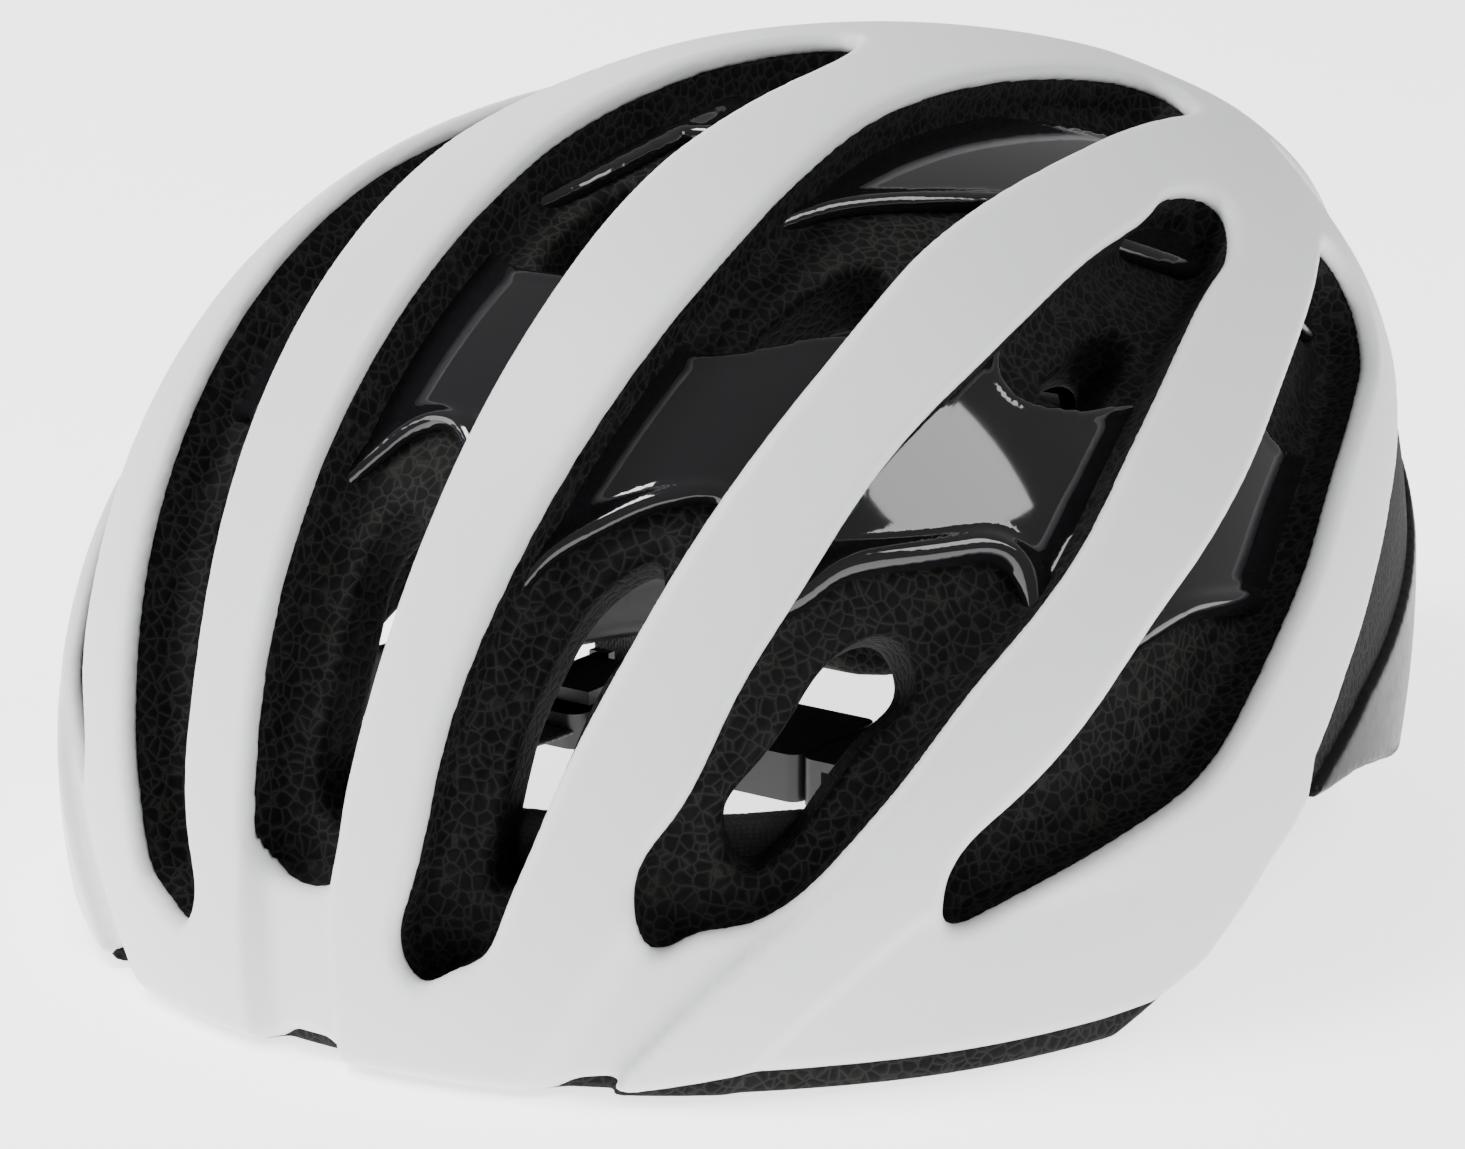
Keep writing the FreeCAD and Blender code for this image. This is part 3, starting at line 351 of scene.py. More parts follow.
OUTER = Dome(105, 110, 117, 172, (2.04, 1.6, 2.2), 20, 0.35)
CAVITY = Dome(78, 84, 93, 110, (2.2, 2.2, 2.2), 12)

# ---------------------------------------------------------------- drawing planes and outlines


class Chart:
    def __init__(self, right, up, out):
        self.axes = np.array([right, up]), np.array(out)

    def flat(self, p):
        return p @ self.axes[0].T


BROW_VIEW = Chart((1, 0, 0), (0, HALF, HALF), (0, -HALF, HALF))
SIDE_VIEW = Chart((0, 1, 0), (0, 0, 1), (1, 0, 0))
TAIL_VIEW = Chart((1, 0, 0), (0, -HALF, HALF), (0, HALF, HALF))


def closed_spline(points, steps=14):
    """A smooth periodic cubic through points, as a dense polygon."""
    p = np.array(points, float)
    count = len(p)
    gap = np.linalg.norm(np.roll(p, -1, 0) - p, axis=1)
    before = np.roll(gap, 1)
    system = np.zeros((count, count))
    for i in range(count):
        system[i, i] = 2 * (before[i] + gap[i])
        system[i, (i - 1) % count] += gap[i]
        system[i, (i + 1) % count] += before[i]
    ahead = (np.roll(p, -1, 0) - p) / gap[:, None]
    behind = np.roll(ahead, 1, 0)
    slopes = np.linalg.solve(system, 3 * (gap[:, None] * behind + before[:, None] * ahead))
    t = np.arange(steps) / steps
    shape = [2 * t ** 3 - 3 * t ** 2 + 1, t ** 3 - 2 * t ** 2 + t, 3 * t ** 2 - 2 * t ** 3, t ** 3 - t ** 2]
    runs = []
    for i in range(count):
        j = (i + 1) % count
        runs.append(sum(np.outer(s, v) for s, v in zip(shape, (p[i], slopes[i] * gap[i], p[j],
                                                               slopes[j] * gap[i]))))
    return np.concatenate(runs)


class Outline:
    """A closed outline in a chart, kept as a map of signed distances: negative inside."""
    STEP, MARGIN = 0.45, 16.0

    def __init__(self, chart, points, smooth=True):
        self.chart = chart
        rim = closed_spline(points) if smooth else np.array(points, float)
        self.low = rim.min(0) - self.MARGIN
        count = np.ceil((rim.max(0) + self.MARGIN - self.low) / self.STEP).astype(int) + 1
        self.count = count
        gx, gy = np.meshgrid(*[self.low[k] + self.STEP * np.arange(count[k]) for k in (0, 1)],
                             indexing="ij")
        best = np.full(gx.shape, 1e9)
        inside = np.zeros(gx.shape, bool)
        for (ax, ay), (bx, by) in zip(rim, np.roll(rim, -1, 0)):
            ex, ey = bx - ax, by - ay
            t = np.clip(((gx - ax) * ex + (gy - ay) * ey) / (ex * ex + ey * ey + 1e-12), 0, 1)
            best = np.minimum(best, (gx - ax - t * ex) ** 2 + (gy - ay - t * ey) ** 2)
            if ay != by:
                crosses = ((ay > gy) != (by > gy)) & (gx < (gy - ay) / ey * ex + ax)
                inside ^= crosses
        self.map = np.where(inside, -1, 1) * np.sqrt(best)
        self.slopes = np.gradient(self.map, self.STEP)

    def distance(self, flat, normal, scale):
        """Distance in space at foot points: flat are their chart places, normal the surface's."""
        spot = np.clip((flat - self.low) / self.STEP, 0, self.count - 1.001)
        i = spot.astype(np.int32)
        f = spot - i
        i0, i1 = i[:, 0], i[:, 1]
        f0, f1 = f[:, 0], f[:, 1]
        m = self.map
        value = ((m[i0, i1] * (1 - f0) + m[i0 + 1, i1] * f0) * (1 - f1)
                 + (m[i0, i1 + 1] * (1 - f0) + m[i0 + 1, i1 + 1] * f0) * f1)
        across = self.slopes[0][i0, i1], self.slopes[1][i0, i1]
        heading = across[0][:, None] * self.chart.axes[0][0] + across[1][:, None] * self.chart.axes[0][1]
        lean = (heading * normal).sum(1)
        true = value * scale / np.sqrt(np.clip(1 - lean ** 2, 0.2, 1))
        facing = normal @ self.chart.axes[1]
        return np.where(facing > 0.06, true, 30.0)


SLOTS = {
    "centre": (BROW_VIEW, [(0, -79.5), (4, -79), (7.2, -76.5), (9, -69), (10.2, -57), (11.4, -42),
                           (12.2, -24), (12.6, -4), (12.6, 16), (12, 38), (11.8, 58), (11, 76), (8, 92),
                           (0, 101), (-8, 92), (-11, 76), (-11.8, 58), (-12, 38), (-12.6, 16),
                           (-12.6, -4), (-12.2, -24), (-11.4, -42), (-10.2, -57), (-9, -69),
                           (-7.2, -76.5), (-4, -79)]),
    "inner": (BROW_VIEW, [(22, -85), (28, -82.8), (33, -79.5), (36, -73.5), (38.8, -66), (42, -55),
                          (46.5, -38), (50, -20), (53, 0), (55, 24), (54.3, 46), (53, 66), (51, 84),
                          (47.5, 101), (43.5, 116), (37, 126), (31.5, 127), (28.8, 118), (27.8, 104),
                          (27.5, 88), (28.4, 74), (31, 58), (33, 36), (32.4, 14), (30, -12),
                          (26.8, -36), (23.8, -58), (21, -76), (20, -83)]),
    "outer": (BROW_VIEW, [(55, -70.5), (60, -67), (66, -62.5), (71.5, -56), (76.5, -46), (81, -34),
                          (85, -18), (88, -2), (88.8, 14), (87, 31), (83.5, 47), (79, 62), (73.5, 78),
                          (67.5, 91), (61.5, 97), (60.8, 92), (63.5, 82), (66.5, 67), (69, 50),
                          (70, 36), (69, 20), (67, 0), (65, -18), (61.5, -36), (57, -54), (53.3, -67)]),
    "side": (SIDE_VIEW, [(-91, 25), (-84, 26.2), (-70, 31), (-56, 35), (-44, 39), (-32, 46.5),
                         (-16, 55.5), (-2, 62), (14, 69.5), (32, 75), (50, 78.5), (64, 82), (70, 88),
                         (66, 95), (50, 96.5), (26, 92), (6, 86.8), (-14, 79.5), (-34, 71.5),
                         (-52, 62.5), (-68, 51), (-82, 41.3), (-91.5, 31)]),
    "tail_inner": (TAIL_VIEW, [(14, 38), (22, 37), (26, 28), (27, 10), (25, -8), (19, -22), (11, -24),
                               (8, -12), (8, 8), (10, 28)]),
    "tail_outer": (TAIL_VIEW, [(43, 20), (51, 17), (56, 6), (57, -8), (53, -22), (45, -28),
                               (38, -22), (37, -6), (38, 10)]),
}
HOLES = {
    "centre_brow": (BROW_VIEW, [(0, -74), (4.2, -71), (5.6, -60), (5.8, -40), (4.4, -27), (0, -23),
                                (-4.4, -27), (-5.8, -40), (-5.6, -60), (-4.2, -71)]),
    "centre_crown": (BROW_VIEW, [(0, 27), (4, 30), (5.5, 42), (4.4, 54), (0, 58), (-4.4, 54),
                                 (-5.5, 42), (-4, 30)]),
    "inner_brow": (BROW_VIEW, [(45, -19), (40, -24), (36.5, -31), (33.8, -42), (31.5, -54),
                               (30.2, -66), (31, -75), (33.5, -74), (36.8, -66), (39.8, -54),
                               (43.8, -38), (47.5, -24)]),
    "inner_crown": (BROW_VIEW, [(46, 16), (42, 20), (41.4, 31), (43.8, 43), (48, 51), (51.5, 48),
                                (52.4, 36), (51.5, 20)]),
    "outer_brow": (BROW_VIEW, [(79, -13), (82, -17), (80.5, -26), (74.4, -44), (69.5, -54.5),
                               (65, -58.5), (63, -56), (65.3, -44), (69, -33), (72.5, -20)]),
    "outer_crown": (BROW_VIEW, [(77, 42), (75, 50), (73.4, 60), (74.4, 66), (78, 60), (80.5, 51),
                                (80.5, 44)]),
    "tail_inner": (TAIL_VIEW, [(15, 30), (21, 28), (23, 16), (22, 2), (16, -6), (12, 2), (11, 18)]),
    "tail_outer": (TAIL_VIEW, [(44, 10), (50, 6), (51, -6), (46, -14), (41, -8), (40, 4)]),
}
HOLE_TAPER = 95.0
FAR = 160.0
TOP = [(FAR, FAR), (-FAR, FAR)]
FOAM_RIM = [(-FAR, 0), (-60, 0), (-44, 8), (-28, 20), (-14, 27), (4, 26), (22, 23), (40, 18),
            (58, 9), (72, 0), (FAR, 0)]
WHITE_HEM = [(-FAR, 0.4), (-124, 0.4), (-112, 4), (-64, 4.2), (-54, 4.6), (-44, 8.4), (-28, 20.3),
             (-16, 27), (-13, 33), (2, 42), (23, 52), (40, 59), (70, 68), (110, 76), (FAR, 82)]
NAPE_TOP = [(FAR, 70), (118, 60), (80, 49), (40, 42), (12, 37), (-8, 31), (-14, 28.5)]
# One gloss panel in each slot, the height that parts its lower lip from its upper edge, and the lip's size.
PANELS = {
    "front_hoop": ("front_bridge", [
        (BROW_VIEW, [(0, -8), (4, -9.5), (8, -14), (12, -19.5), (18, -27), (18, 32), (9, 27.5), (0, 26.5),
                     (-9, 27.5), (-18, 32), (-18, -27), (-12, -19.5), (-8, -14), (-4, -9.5)], 10, 1.4),
        (BROW_VIEW, [(20, -40), (26, -33.5), (29, -27), (35, -19.5), (41, -13), (46, -9), (50, -7.2),
                     (54, -9), (58, -13), (61.5, -8), (62, 34), (53, 31.5), (46, 25), (40, 19.5),
                     (35, 17.2), (31, 18.5), (24, 24), (18, 0)], 8, 1.4),
        (BROW_VIEW, [(60, -24), (66, -18), (69.5, -10.5), (75, -4), (81, 3), (85, 6.5), (88, 4),
                     (91, -2), (92, 8), (91, 28), (87.5, 48), (84, 51), (81.5, 44), (78.5, 38.5),
                     (75.5, 36.5), (72.5, 38), (69, 44), (60, 54), (58, 10)], 20, 2.2),
        (SIDE_VIEW, [(-61, 62), (-50, 59.2), (-40, 60.8), (-34, 61.4), (-18, 59.2), (-9, 56), (-4, 50),
                     (14, 52), (60, 62), (62, 69), (46, 70), (28, 75.2), (19.5, 78.5), (15, 83),
                     (11, 91), (-12, 85.5), (-34, 76.5), (-52, 69.5), (-62, 65.5)], 50, 2.0)]),
    "rear_hoop": ("rear_bridge", [
        (BROW_VIEW, [(0, 73), (6, 71.5), (12, 69), (18, 67), (18, 100), (0, 104), (-18, 100), (-18, 67),
                     (-12, 69), (-6, 71.5)], 85, 1.3),
        (BROW_VIEW, [(20, 40), (30, 46), (32.5, 52), (36, 59.5), (41, 66), (47, 73.5), (52, 79),
                     (62, 82), (60, 122), (44, 121), (36, 115.5), (31, 109.5), (25, 103.5),
                     (19, 101)], 92, 1.5)]),
}

# ---------------------------------------------------------------- the grid
VOXEL = 0.8
LOW = np.array([0.0, -144.0, -4.0])
COUNT = np.ceil((np.array([110.0, 144.0, 138.0]) - LOW) / VOXEL).astype(int) + 1
CLIP = 3.0


def grid_points():
    axes = [LOW[k] + VOXEL * np.arange(COUNT[k]) for k in range(3)]
    mesh = np.meshgrid(*axes, indexing="ij")
    return np.stack([m.ravel() for m in mesh], 1)


everywhere = grid_points()
near = np.ones(len(everywhere), bool)
level = OUTER.field(everywhere)[0]
near &= level < 1.04
level = CAVITY.field(everywhere)[0]
near &= level > 0.9
WHERE = np.flatnonzero(near)
P = everywhere[WHERE]
del everywhere, level, near

LEVEL, D_OUT = OUTER.field(P)[:2]
FOOT = CENTRE + (P - CENTRE) / LEVEL[:, None]
N_FOOT = OUTER.field(FOOT)[2]
D_CAV = CAVITY.field(P)[1]


def smooth(value, low, high):
    t = np.clip((value - low) / (high - low), 0, 1)
    return t * t * (3 - 2 * t)


def meet(a, b, radius):
    """Intersection of two distances with a rounded edge."""
    if radius <= 0:
        return np.maximum(a, b)
    u, v = np.maximum(a + radius, 0), np.maximum(b + radius, 0)
    return np.minimum(np.maximum(a, b), -radius) + np.sqrt(u * u + v * v)


def join(a, b, radius):
    """Union with a rounded inner corner."""
    return -meet(-a, -b, radius)


def polished(points, quads, triangles, rounds):
    """Points evened out along the mesh without shrinking it: a smoothing step, then its undoing."""
    rings = [np.stack([f.ravel(), np.roll(f, -1, 1).ravel()], 1) for f in (quads, triangles) if len(f)]
    a, b = np.concatenate(rings).T
    ends = np.concatenate([a, b]), np.concatenate([b, a])
    count = np.maximum(np.bincount(ends[0], minlength=len(points)), 1)
    for pull in (0.5, -0.53) * rounds:
        around = np.stack([np.bincount(ends[0], points[ends[1], k], len(points)) for k in range(3)], 1)
        points = points + pull * (around / count[:, None] - points)
    return points


def surface(name, values, mat, both=True, rounds=3):
    """The zero surface of a field on the active points, mirrored, as a smooth mesh."""
    half = np.full(COUNT, CLIP, np.float32)
    half.ravel()[WHERE] = np.clip(values, -CLIP, CLIP)
    whole = np.concatenate([half[:0:-1], half]) if both else half
    grid = openvdb.FloatGrid(background=CLIP)
    grid.copyFromArray(whole)
    points, triangles, quads = grid.convertToPolygons(isovalue=0.0)
    start = np.array([-(COUNT[0] - 1) * VOXEL if both else 0.0, LOW[1], LOW[2]])
    points = polished(points * VOXEL + start, quads, triangles, rounds)
    return mesh_piece(name, points * MM, quads, mat, triangles)


def mesh_piece(name, points, quads, mat, triangles=()):
    mesh = bpy.data.meshes.new(name)
    corner = [np.asarray(f, np.int32).reshape(-1, k) for f, k in ((quads, 4), (triangles, 3))]
    loops = np.concatenate([f.ravel() for f in corner])
    sizes = np.concatenate([np.full(len(f), f.shape[1], np.int32) for f in corner])
    starts = np.concatenate([[0], np.cumsum(sizes)[:-1]]).astype(np.int32)
    mesh.vertices.add(len(points))
    mesh.vertices.foreach_set("co", np.asarray(points, np.float32).ravel())
    mesh.loops.add(len(loops))
    mesh.loops.foreach_set("vertex_index", loops)
    mesh.polygons.add(len(sizes))
    mesh.polygons.foreach_set("loop_start", starts)
    mesh.polygons.foreach_set("loop_total", sizes)
    mesh.update(calc_edges=True)
    mesh.validate()
    mesh.shade_smooth()
    mesh.materials.append(mat)
    item = bpy.data.objects.new(name, mesh)
    bpy.context.scene.collection.objects.link(item)
    return item


def slot_distance(chart, points):
    outline = Outline(chart, points)
    return outline.distance(chart.flat(FOOT), N_FOOT, LEVEL)


def cast_outward(apex, p):
    """Where rays from an apex through points leave the outer surface."""
    ray = p - apex
    ray /= np.linalg.norm(ray, axis=1)[:, None]
    reach = np.full(len(p), 60.0)
    for _ in range(5):
        level, d, normal = OUTER.field(apex + ray * reach[:, None])
        reach -= d / np.clip((normal * ray).sum(1), 0.3, 1)
    return apex + ray * reach[:, None], reach


def foot_on_outer(chart, spot):
    """The outer surface's point at a chart place, from outside."""
    right, up = chart.axes[0]
    start = right * spot[0] + up * spot[1]
    near_by, far = -20.0, 260.0
    for _ in range(40):
        middle = (near_by + far) / 2
        if OUTER.field((start + chart.axes[1] * middle)[None])[0][0] > 1:
            far = middle
        else:
            near_by = middle
    return start + chart.axes[1] * near_by


def hole_distance(chart, points):
    """A through-hole narrows inwards, towards an apex below its own middle."""
    middle = np.mean([foot_on_outer(chart, spot) for spot in points], 0)
    inward = CENTRE - middle
    apex = middle + inward * (HOLE_TAPER / np.linalg.norm(inward))
    axis = -inward / np.linalg.norm(inward)
    ahead = (P - apex) @ axis
    close = (ahead > 5) & (np.linalg.norm(P - middle, axis=1) < 62)
    result = np.full(len(P), 30.0)
    foot, reach = cast_outward(apex, P[close])
    normal = OUTER.field(foot)[2]
    scale = np.linalg.norm(P[close] - apex, axis=1) / reach
    result[close] = Outline(chart, points).distance(chart.flat(foot), normal, scale)
    return result


slot = {name: slot_distance(*spec) for name, spec in SLOTS.items()}
hole = {name: hole_distance(*spec) for name, spec in HOLES.items()}

# ---------------------------------------------------------------- relief in the white skin
x, y, z = P.T
front = smooth(-y, 40, 62)
CHANNEL_DEEP, GROOVE_DEEP, CREASE_DEEP = 3.6, 2.8, 0.8
channel = CHANNEL_DEEP * smooth(-x, -9.2, -5.6) * front
groove_left, groove_right = 38.0 + 0.55 * z, 46.5 + 0.84 * z
groove = GROOVE_DEEP * smooth(x, groove_left - 2.5, groove_left + 3.0) * smooth(-z, -40, -22) * front
groove *= smooth(-x, -groove_right - 1.6, -groove_right + 0.8)
crease_line = 61.6 + 0.82 * z
crease = CREASE_DEEP * smooth(x, crease_line - 0.7, crease_line + 0.7) * smooth(-z, -30, -24) * front
crease *= smooth(-x, -(crease_line + 26), -(crease_line + 6))
relief = channel + groove + crease
D_SKIN = D_OUT + relief

# the slots' edge radius, the depth of the skin's rolled lip, and the skin's thickness
EDGE, LIP, SKIN = 2.0, 3.3, 2.6
ribbed = D_SKIN
for distance in slot.values():
    ribbed = meet(ribbed, -distance, EDGE)

side_flat = SIDE_VIEW.flat(P)
SIDE_NORMAL = np.zeros_like(P)
SIDE_NORMAL[:, 0] = 1.0


def side_line(points):
    """Distance from a side-view outline carried across the helmet."""
    made = Outline(SIDE_VIEW, points, smooth=False)
    return made.distance(side_flat, SIDE_NORMAL, 1.0)


hem_notch = 2.0 * smooth(-x, -7.0, -2.5) * front
hem_notch += 1.5 * smooth(x, 38.5, 43.5) * smooth(-x, -52, -46) * front
hem = side_line(WHITE_HEM + TOP) + hem_notch
covered = meet(ribbed, hem, 2.6)
skin_shape = np.maximum(meet(covered, -(D_SKIN + LIP), 0.9), -(covered + SKIN))
shell = surface("shell_skin", skin_shape, WHITE)
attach(shell, "helmet")
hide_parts("outer_shell")

# ---------------------------------------------------------------- foam
rim = side_line(FOAM_RIM + TOP)
trench = OUTER.inset(11).field(P)[1]
walls = D_SKIN + 1.5
for distance in slot.values():
    walls = meet(walls, 0.7 - distance, 1.5)
foam = join(walls, trench + 0.4, 3.0)
for distance in hole.values():
    foam = meet(foam, -distance, 2.2)
foam = meet(foam, rim, 2.0)
foam = meet(foam, -D_CAV, 2.5)


def rounded_box(low, high, radius):
    middle, half = (np.array(low) + high) / 2, (np.array(high) - low) / 2
    q = np.abs(P - middle) - half + radius
    return np.linalg.norm(np.maximum(q, 0), axis=1) + np.minimum(q.max(1), 0) - radius


arch = rounded_box((-33, 20, -60), (33, 260, 40), 12)
pocket = rounded_box((-30, 20, -60), (30, 95, 54), 3)
ladder_room = rounded_box((-10, 20, -20), (10, 86, 90), 3)
for cutter in (arch, pocket, ladder_room):
    foam = meet(foam, -cutter, 1.5)
liner = surface("bead_liner", foam, FOAM)
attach(liner, "helmet")
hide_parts("eps_liner")

# ---------------------------------------------------------------- gloss hoops and nape cover
bridge_mid = OUTER.inset(10.6).field(P)[1]
BROW_UP = np.array([0, HALF, HALF])
THIN_EDGE = 0.7


def panel(chart, points, parting, lip):
    """A gloss sheet inside one slot, rolled to a thick lip along its lower edge."""
    flat = slot_distance(chart, points)
    below = smooth(parting - P @ BROW_UP, -5, 5)
    roll = THIN_EDGE + (lip - THIN_EDGE) * below
    sheet = meet(np.abs(bridge_mid) - 1.0, flat, 0.8)
    bead = np.sqrt((flat + roll) ** 2 + (bridge_mid - 0.5 * below) ** 2) - roll
    return join(sheet, bead, 1.2)


for name, (node, outlines) in PANELS.items():
    shape = np.minimum.reduce([panel(*spec) for spec in outlines])
    hoop = surface(name, np.maximum(shape, D_OUT + 4.0), BRIDGE, rounds=8)
    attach(hoop, "helmet")
    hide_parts(node)

nape_edge = side_line(FOAM_RIM[4:] + NAPE_TOP)
cover = meet(meet(D_OUT, nape_edge, 1.4), -arch, 1.2)
cover = np.maximum(cover, -(cover + 1.6))
cover = np.maximum(cover, -(D_OUT + 4.0))
nape = surface("nape_skin", cover, NAPE)
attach(nape, "helmet")
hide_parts("nape_cover")

# ---------------------------------------------------------------- pads on the cavity's wall
PAD_THICK, PAD_GAP, PAD_CORNER = 5.0, 0.3, 7.0
SEAM_WIDE = 1.3


def flat_block(axes, low, high):
    """Distance to a rounded rectangle seen along the third axis."""
    q = [np.abs(P[:, k] - (a + b) / 2) - (b - a) / 2 + PAD_CORNER for k, a, b in zip(axes, low, high)]
    outside = np.hypot(np.maximum(q[0], 0), np.maximum(q[1], 0))
    return outside + np.minimum(np.maximum(q[0], q[1]), 0) - PAD_CORNER


def pad_field(axes, low, high, seams, edge_seam=3.2):
    """A foam pad under cloth: crowned, with sewn channels and a flattened sewn border."""
    rect = flat_block(axes, low, high)
    sunk = 2.1 * np.exp(-((rect + edge_seam) / SEAM_WIDE) ** 2)
    for axis, spot in seams:
        sunk = np.maximum(sunk, 2.4 * np.exp(-((P[:, axis] - spot) / SEAM_WIDE) ** 2))
    crown = 0.9 * smooth(-rect, 2, 9)
    inner = -(D_CAV + PAD_GAP + PAD_THICK - 0.7 + crown - sunk)
    return meet(meet(D_CAV + PAD_GAP, inner, 1.2), rect, 1.6)


X, Y, Z = 0, 1, 2
MID_PADS = {
    "brow_cushion": ("brow_pad", (X, Z), (-62, 12), (62, 36), [(X, 12.0), (X, 33.0), (Z, 24.0)]),
    "crown_cushion_centre": ("crown_pad_centre", (X, Y), (-13, -36), (13, 38), [(Y, -11.0), (Y, 13.0)]),
}
SIDE_PADS = {
    "crown_cushion": ("crown_pad", (X, Y), (27, -36), (44, 30), [(Y, -14.0), (Y, 8.0)]),
    "side_cushion": ("side_pad", (Y, Z), (-34, 46), (22, 65), [(Y, -15.0), (Y, 3.0)]),
}


def finish_pad(pad, node):
    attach(pad, "helmet")
    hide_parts(node)


def mirror_image(piece, name):
    """The same mesh on the other side of the helmet."""
    other = bpy.data.objects.new(name, piece.data.copy())
    bpy.context.scene.collection.objects.link(other)
    other.data.transform(Matrix.Scale(-1, 4, (1, 0, 0)))
    other.data.flip_normals()
    return other


above = P[:, Z] > 10
for name, (node, axes, low, high, seams) in MID_PADS.items():
    shape = np.where((P[:, Y] < -40) if axes == (X, Z) else above, pad_field(axes, low, high, seams), CLIP)
    finish_pad(surface(name, shape, CLOTH), node)
for name, (node, axes, low, high, seams) in SIDE_PADS.items():
    shape = np.where(P[:, Z] > 40, pad_field(axes, low, high, seams), CLIP)
    left = surface(name + "_left", shape, CLOTH, both=False)
    finish_pad(mirror_image(left, name + "_right"), node + "_right")
    finish_pad(left, node + "_left")

# ---------------------------------------------------------------- small sculpted pieces


def sculpt(name, low, high, field, mat, step=0.45):
    """The zero surface of field(points) in a small box of its own."""
    count = np.ceil((np.array(high) - low) / step).astype(int) + 1
    axes = [low[k] + step * np.arange(count[k]) for k in range(3)]
    spots = np.stack([m.ravel() for m in np.meshgrid(*axes, indexing="ij")], 1)
    grid = openvdb.FloatGrid(background=CLIP)
    grid.copyFromArray(np.clip(field(spots), -CLIP, CLIP).reshape(count).astype(np.float32))
    points, triangles, quads = grid.convertToPolygons(isovalue=0.0)
    return mesh_piece(name, (points * step + low) * MM, quads, mat, triangles)


def mm_box(node):
    low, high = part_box(node)
    return np.array(low) / MM, np.array(high) / MM


def nape_cushions(p):
    """Two upright oval pads, domed towards the head, each with a sewn border."""
    low, high = mm_box("occipital_pads")
    q = np.stack([np.abs(p[:, X]) - 14, p[:, Z] - (low[Z] + high[Z]) / 2], 1)
    half = np.array([7.4, (high[Z] - low[Z]) / 2 - 0.1])
    level = (np.abs(q[:, 0] / half[0]) ** 3 + np.abs(q[:, 1] / half[1]) ** 3) ** (1 / 3)
    rim = (level - 1) * half[0]
    sunk = 1.0 * np.exp(-((rim + 1.7) / 0.7) ** 2)
    dome = 1.1 * np.clip(1 - level ** 2, 0, 1)
    face = (low[Y] + 0.9 - dome + sunk) - p[:, Y]
    back = p[:, Y] - high[Y] + 0.05
    return meet(meet(face, back, 0.8), rim, 1.0)


low, high = mm_box("occipital_pads")
cushions = sculpt("nape_cushions", low - 2, high + 2, nape_cushions, CLOTH)
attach(cushions, "cradle")
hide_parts("occipital_pads")


# ---------------------------------------------------------------- ribbons: webbing and the fit bands
def through(stations, steps=14):
    """A smooth run through stations, which are rows of numbers."""
    rows = np.array(stations, float)
    padded = np.vstack([2 * rows[0] - rows[1], rows, 2 * rows[-1] - rows[-2]])
    made = []
    for a, b, c, d in zip(padded, padded[1:], padded[2:], padded[3:]):
        for t in np.arange(steps) / steps:
            made.append(0.5 * (2 * b + (c - a) * t + (2 * a - 5 * b + 4 * c - d) * t ** 2
                               + (3 * b - a - 3 * c + d) * t ** 3))
    return np.vstack([made, rows[-1]])


def ribbon(name, stations, thick, mat, across_steps=10, bead=0.0):
    """A flat strip through stations of place, direction across and width, with soft edges.
    Its UV map is millimetres across and along, for the weave."""
    run = through(stations)
    spots, widths = run[:, :3], run[:, 6]
    across = run[:, 3:6] / np.linalg.norm(run[:, 3:6], axis=1)[:, None]
    ahead = np.gradient(spots, axis=0)
    ahead /= np.linalg.norm(ahead, axis=1)[:, None]
    facing = np.cross(across, ahead)
    facing /= np.linalg.norm(facing, axis=1)[:, None]
    along = np.concatenate([[0], np.cumsum(np.linalg.norm(np.diff(spots, axis=0), axis=1))])
    shares = np.linspace(-1, 1, across_steps + 1)
    plump = np.sqrt(1 - 0.75 * np.abs(shares) ** 8) * (1 + bead * smooth(np.abs(shares), 0.6, 0.85))
    ring = [(u, t) for u, t in zip(shares, plump)] + [(u, -t) for u, t in zip(shares[::-1], plump[::-1])]
    points, uv = [], []
    for i in range(len(run)):
        for u, t in ring:
            points.append(spots[i] + across[i] * u * widths[i] / 2 + facing[i] * t * thick / 2)
            uv.append((u * widths[i] / 2, along[i]))
    n = len(ring)
    quads = [(i * n + j, i * n + (j + 1) % n, (i + 1) * n + (j + 1) % n, (i + 1) * n + j)
             for i in range(len(run) - 1) for j in range(n)]
    last = (len(run) - 1) * n
    for base, flip in ((0, False), (last, True)):
        for j in range(across_steps):
            cap = (base + j, base + n - 1 - j, base + n - 2 - j, base + j + 1)
            quads.append(cap[::-1] if flip else cap)
    piece = mesh_piece(name, np.array(points) * MM, quads, mat)
    layer = piece.data.uv_layers.new(name="weave")
    corner = np.empty(len(piece.data.loops), np.int32)
    piece.data.loops.foreach_get("vertex_index", corner)
    layer.data.foreach_set("uv", np.array(uv, np.float32)[corner].ravel())
    return piece, along[-1]


WEB_THICK = 0.9


def web(name, node, body, stations, rests_on):
    """One length of webbing on a body, in place of its CAD strap."""
    piece, length = ribbon(name, stations, WEB_THICK, WEBBING)
    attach(piece, body)
    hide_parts(node)
    return piece


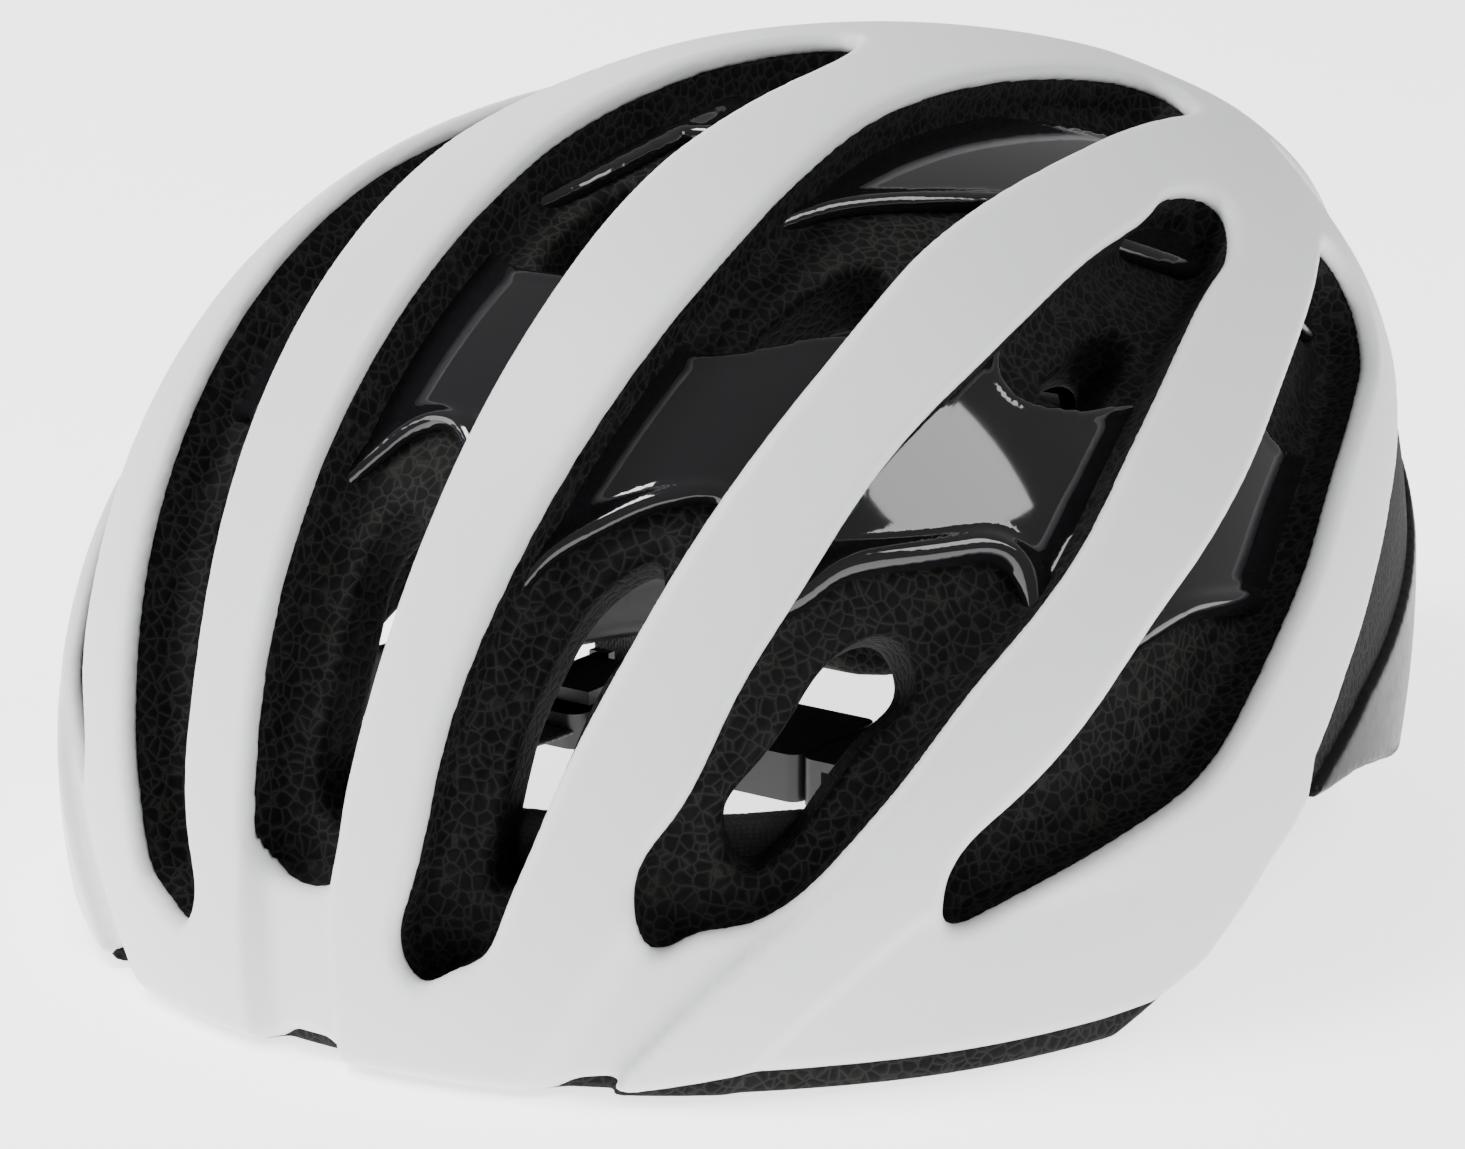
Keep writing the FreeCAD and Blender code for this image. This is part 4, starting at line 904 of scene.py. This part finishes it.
FRONT_WEB = [(54, -5.3, 7.5, 1, 0, 0, 13), (54.8, -14, 7.5, 1, 0.1, 0, 13),
             (59, -29, 7.4, 0.95, 0.3, 0, 13), (65, -44, 7.4, 0.85, 0.5, 0, 12.4),
             (69, -51.5, 7.5, 0.5, 0.85, 0, 10.5), (72.2, -54, 7.5, 0, 1, 0, 8.8)]
REAR_WEB = [(54, 21.4, 7.5, 1, 0, 0, 13), (55, 25.5, 7.5, 0.95, -0.3, 0, 13),
            (58.5, 30.5, 7.5, 0.5, -0.85, 0, 13), (63.2, 32, 7.7, 0, -1, 0, 13),
            (65.4, 32, 10, 0, -1, 0, 13), (65.6, 32, 17, 0, -1, 0, 12.5),
            (65.6, 32, 24, 0, -1, 0, 10.5), (66.3, 32, 28, 0, -1, 0, 8.8)]
CHIN_WEB = [(x, 8, z, 0, 1, 0, wide) for x, z, wide in (
    (47.5, 7.5, 15), (35, 7.5, 15), (27.4, 7.5, 15), (26, 7.9, 15), (25.6, 9.5, 15), (25.4, 11.4, 15),
    (24, 12.35, 15), (21.6, 12.2, 14.8), (19.9, 10, 14.8), (19.8, 7.5, 14.8), (19.9, 5, 14.8),
    (21.6, 2.8, 14.8), (24, 2.65, 15), (25.4, 3.7, 15), (25.6, 5, 15), (25.7, 6.2, 15))]


def other_side(stations):
    """Stations mirrored across the helmet's middle."""
    return [(-x, y, z, -ax, ay, az, wide) for x, y, z, ax, ay, az, wide in stations]


for side, flip in (("left", list), ("right", other_side)):
    web(f"front_web_{side}", f"front_strap_{side}", "helmet", flip(FRONT_WEB), [f"divider_{side}"])
    web(f"rear_web_{side}", f"rear_strap_{side}", "helmet", flip(REAR_WEB), [f"divider_{side}"])
web("chin_web_left", "chin_strap_left", "helmet", CHIN_WEB, ["buckle_female"])
web("chin_web_right", "chin_strap_right", "buckle_plug", other_side(CHIN_WEB), ["buckle_male"])

# the fit band: one strip a side, from the temple pin to its rack in the dial case
BAND_LEVEL, BAND_THICK = 20.0, 1.5
SLIM, DEEP = 5.5, 8.2
SLIM_UNTIL, DEEP_FROM = 30.0, 62.0
BAND_LINE = [(70.2, -51), (70.2, -38), (70.2, -26), (69.3, -5), (67.4, 7.5), (64.6, 20), (57.5, 43),
             (46.5, 62.5), (42.2, 67.8), (37, 71.8)]
MODULE, RACK_BACK, RACK_THICK = 1.0, 72.0, 2.0
RACK_ENDS, RACK_TEETH = (-10.0, 38.0), range(-3, 6)
FLANK = math.tan(math.radians(20))


def band_half(y):
    """Half the strip's height: round at its nose, slim along the head, deep at the rack."""
    nose = SLIM * math.sqrt(max(0.04, 1 - max(0.0, (-46.0 - y) / 5.4) ** 2))
    return nose + (DEEP - SLIM) * min(max((y - SLIM_UNTIL) / (DEEP_FROM - SLIM_UNTIL), 0), 1)


def rack():
    """The toothed tongue, as a closed prism: its outline is a top edge over a row of teeth."""
    pitch = math.pi * MODULE
    half, spine = (pitch / 2 - 0.2) / 2, 3.2 * MODULE
    low = [(RACK_ENDS[0], 1.05)]
    for k in RACK_TEETH:
        middle = (k + 0.5) * pitch
        low += [(middle - half - 1.05 * FLANK, 1.05), (middle - half + 0.8 * FLANK, -0.8),
                (middle + half - 0.8 * FLANK, -0.8), (middle + half + 1.05 * FLANK, 1.05)]
    low.append((RACK_ENDS[1], 1.05))
    columns = [(x, z, spine) for x, z in low]
    rise = BAND_LEVEL + 5 * MODULE
    points = [(x, RACK_BACK + y * RACK_THICK / 2, rise + h) for x, z, top in columns
              for y, h in ((-1, z), (1, z), (1, top), (-1, top))]
    quads = [(4 * i + j, 4 * i + (j + 1) % 4, 4 * i + 4 + (j + 1) % 4, 4 * i + 4 + j)
             for i in range(len(columns) - 1) for j in range(4)]
    end = 4 * (len(columns) - 1)
    quads += [(3, 2, 1, 0), (end, end + 1, end + 2, end + 3)]
    return points, quads


def fit_band(name, side, turned):
    stations = [(x, y, BAND_LEVEL, 0, 0, 1, 2 * band_half(y)) for x, y in BAND_LINE]
    strip, _ = ribbon(name, stations, BAND_THICK, NYLON, bead=0.35)
    points, quads = rack()
    tongue = mesh_piece(name + "_rack", np.array(points) * MM, quads, NYLON)
    tongue.data.shade_flat()
    with bpy.context.temp_override(active_object=strip, selected_editable_objects=[strip, tongue]):
        bpy.ops.object.join()
    if turned:
        about = Matrix.Translation((0, 0, BAND_LEVEL * MM))
        strip.data.transform(about @ Matrix.Rotation(math.pi, 4, "Y") @ about.inverted())
    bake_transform(strip)
    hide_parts(f"side_band_{side}", f"fit_arm_{side}")


fit_band("fit_band_left", "left", False)
fit_band("fit_band_right", "right", True)

# ---------------------------------------------------------------- finishes of the CAD pieces that show
FINISHES = {"anchor_plastic": ANCHOR, "band_nylon": NYLON, "case_nylon": CASE, "fitting_acetal": ACETAL,
            "knob_plastic": KNOB, "soft_rubber": RUBBER, "gear_acetal": GEAR, "screw_steel": STEEL}
for part in frame["record"]["subparts"]:
    finish = FINISHES.get(part["material_slot"])
    node = frame["nodes"][part["node"]]
    if finish is not None and not node.hide_render:
        for place in node.material_slots:
            place.material = finish
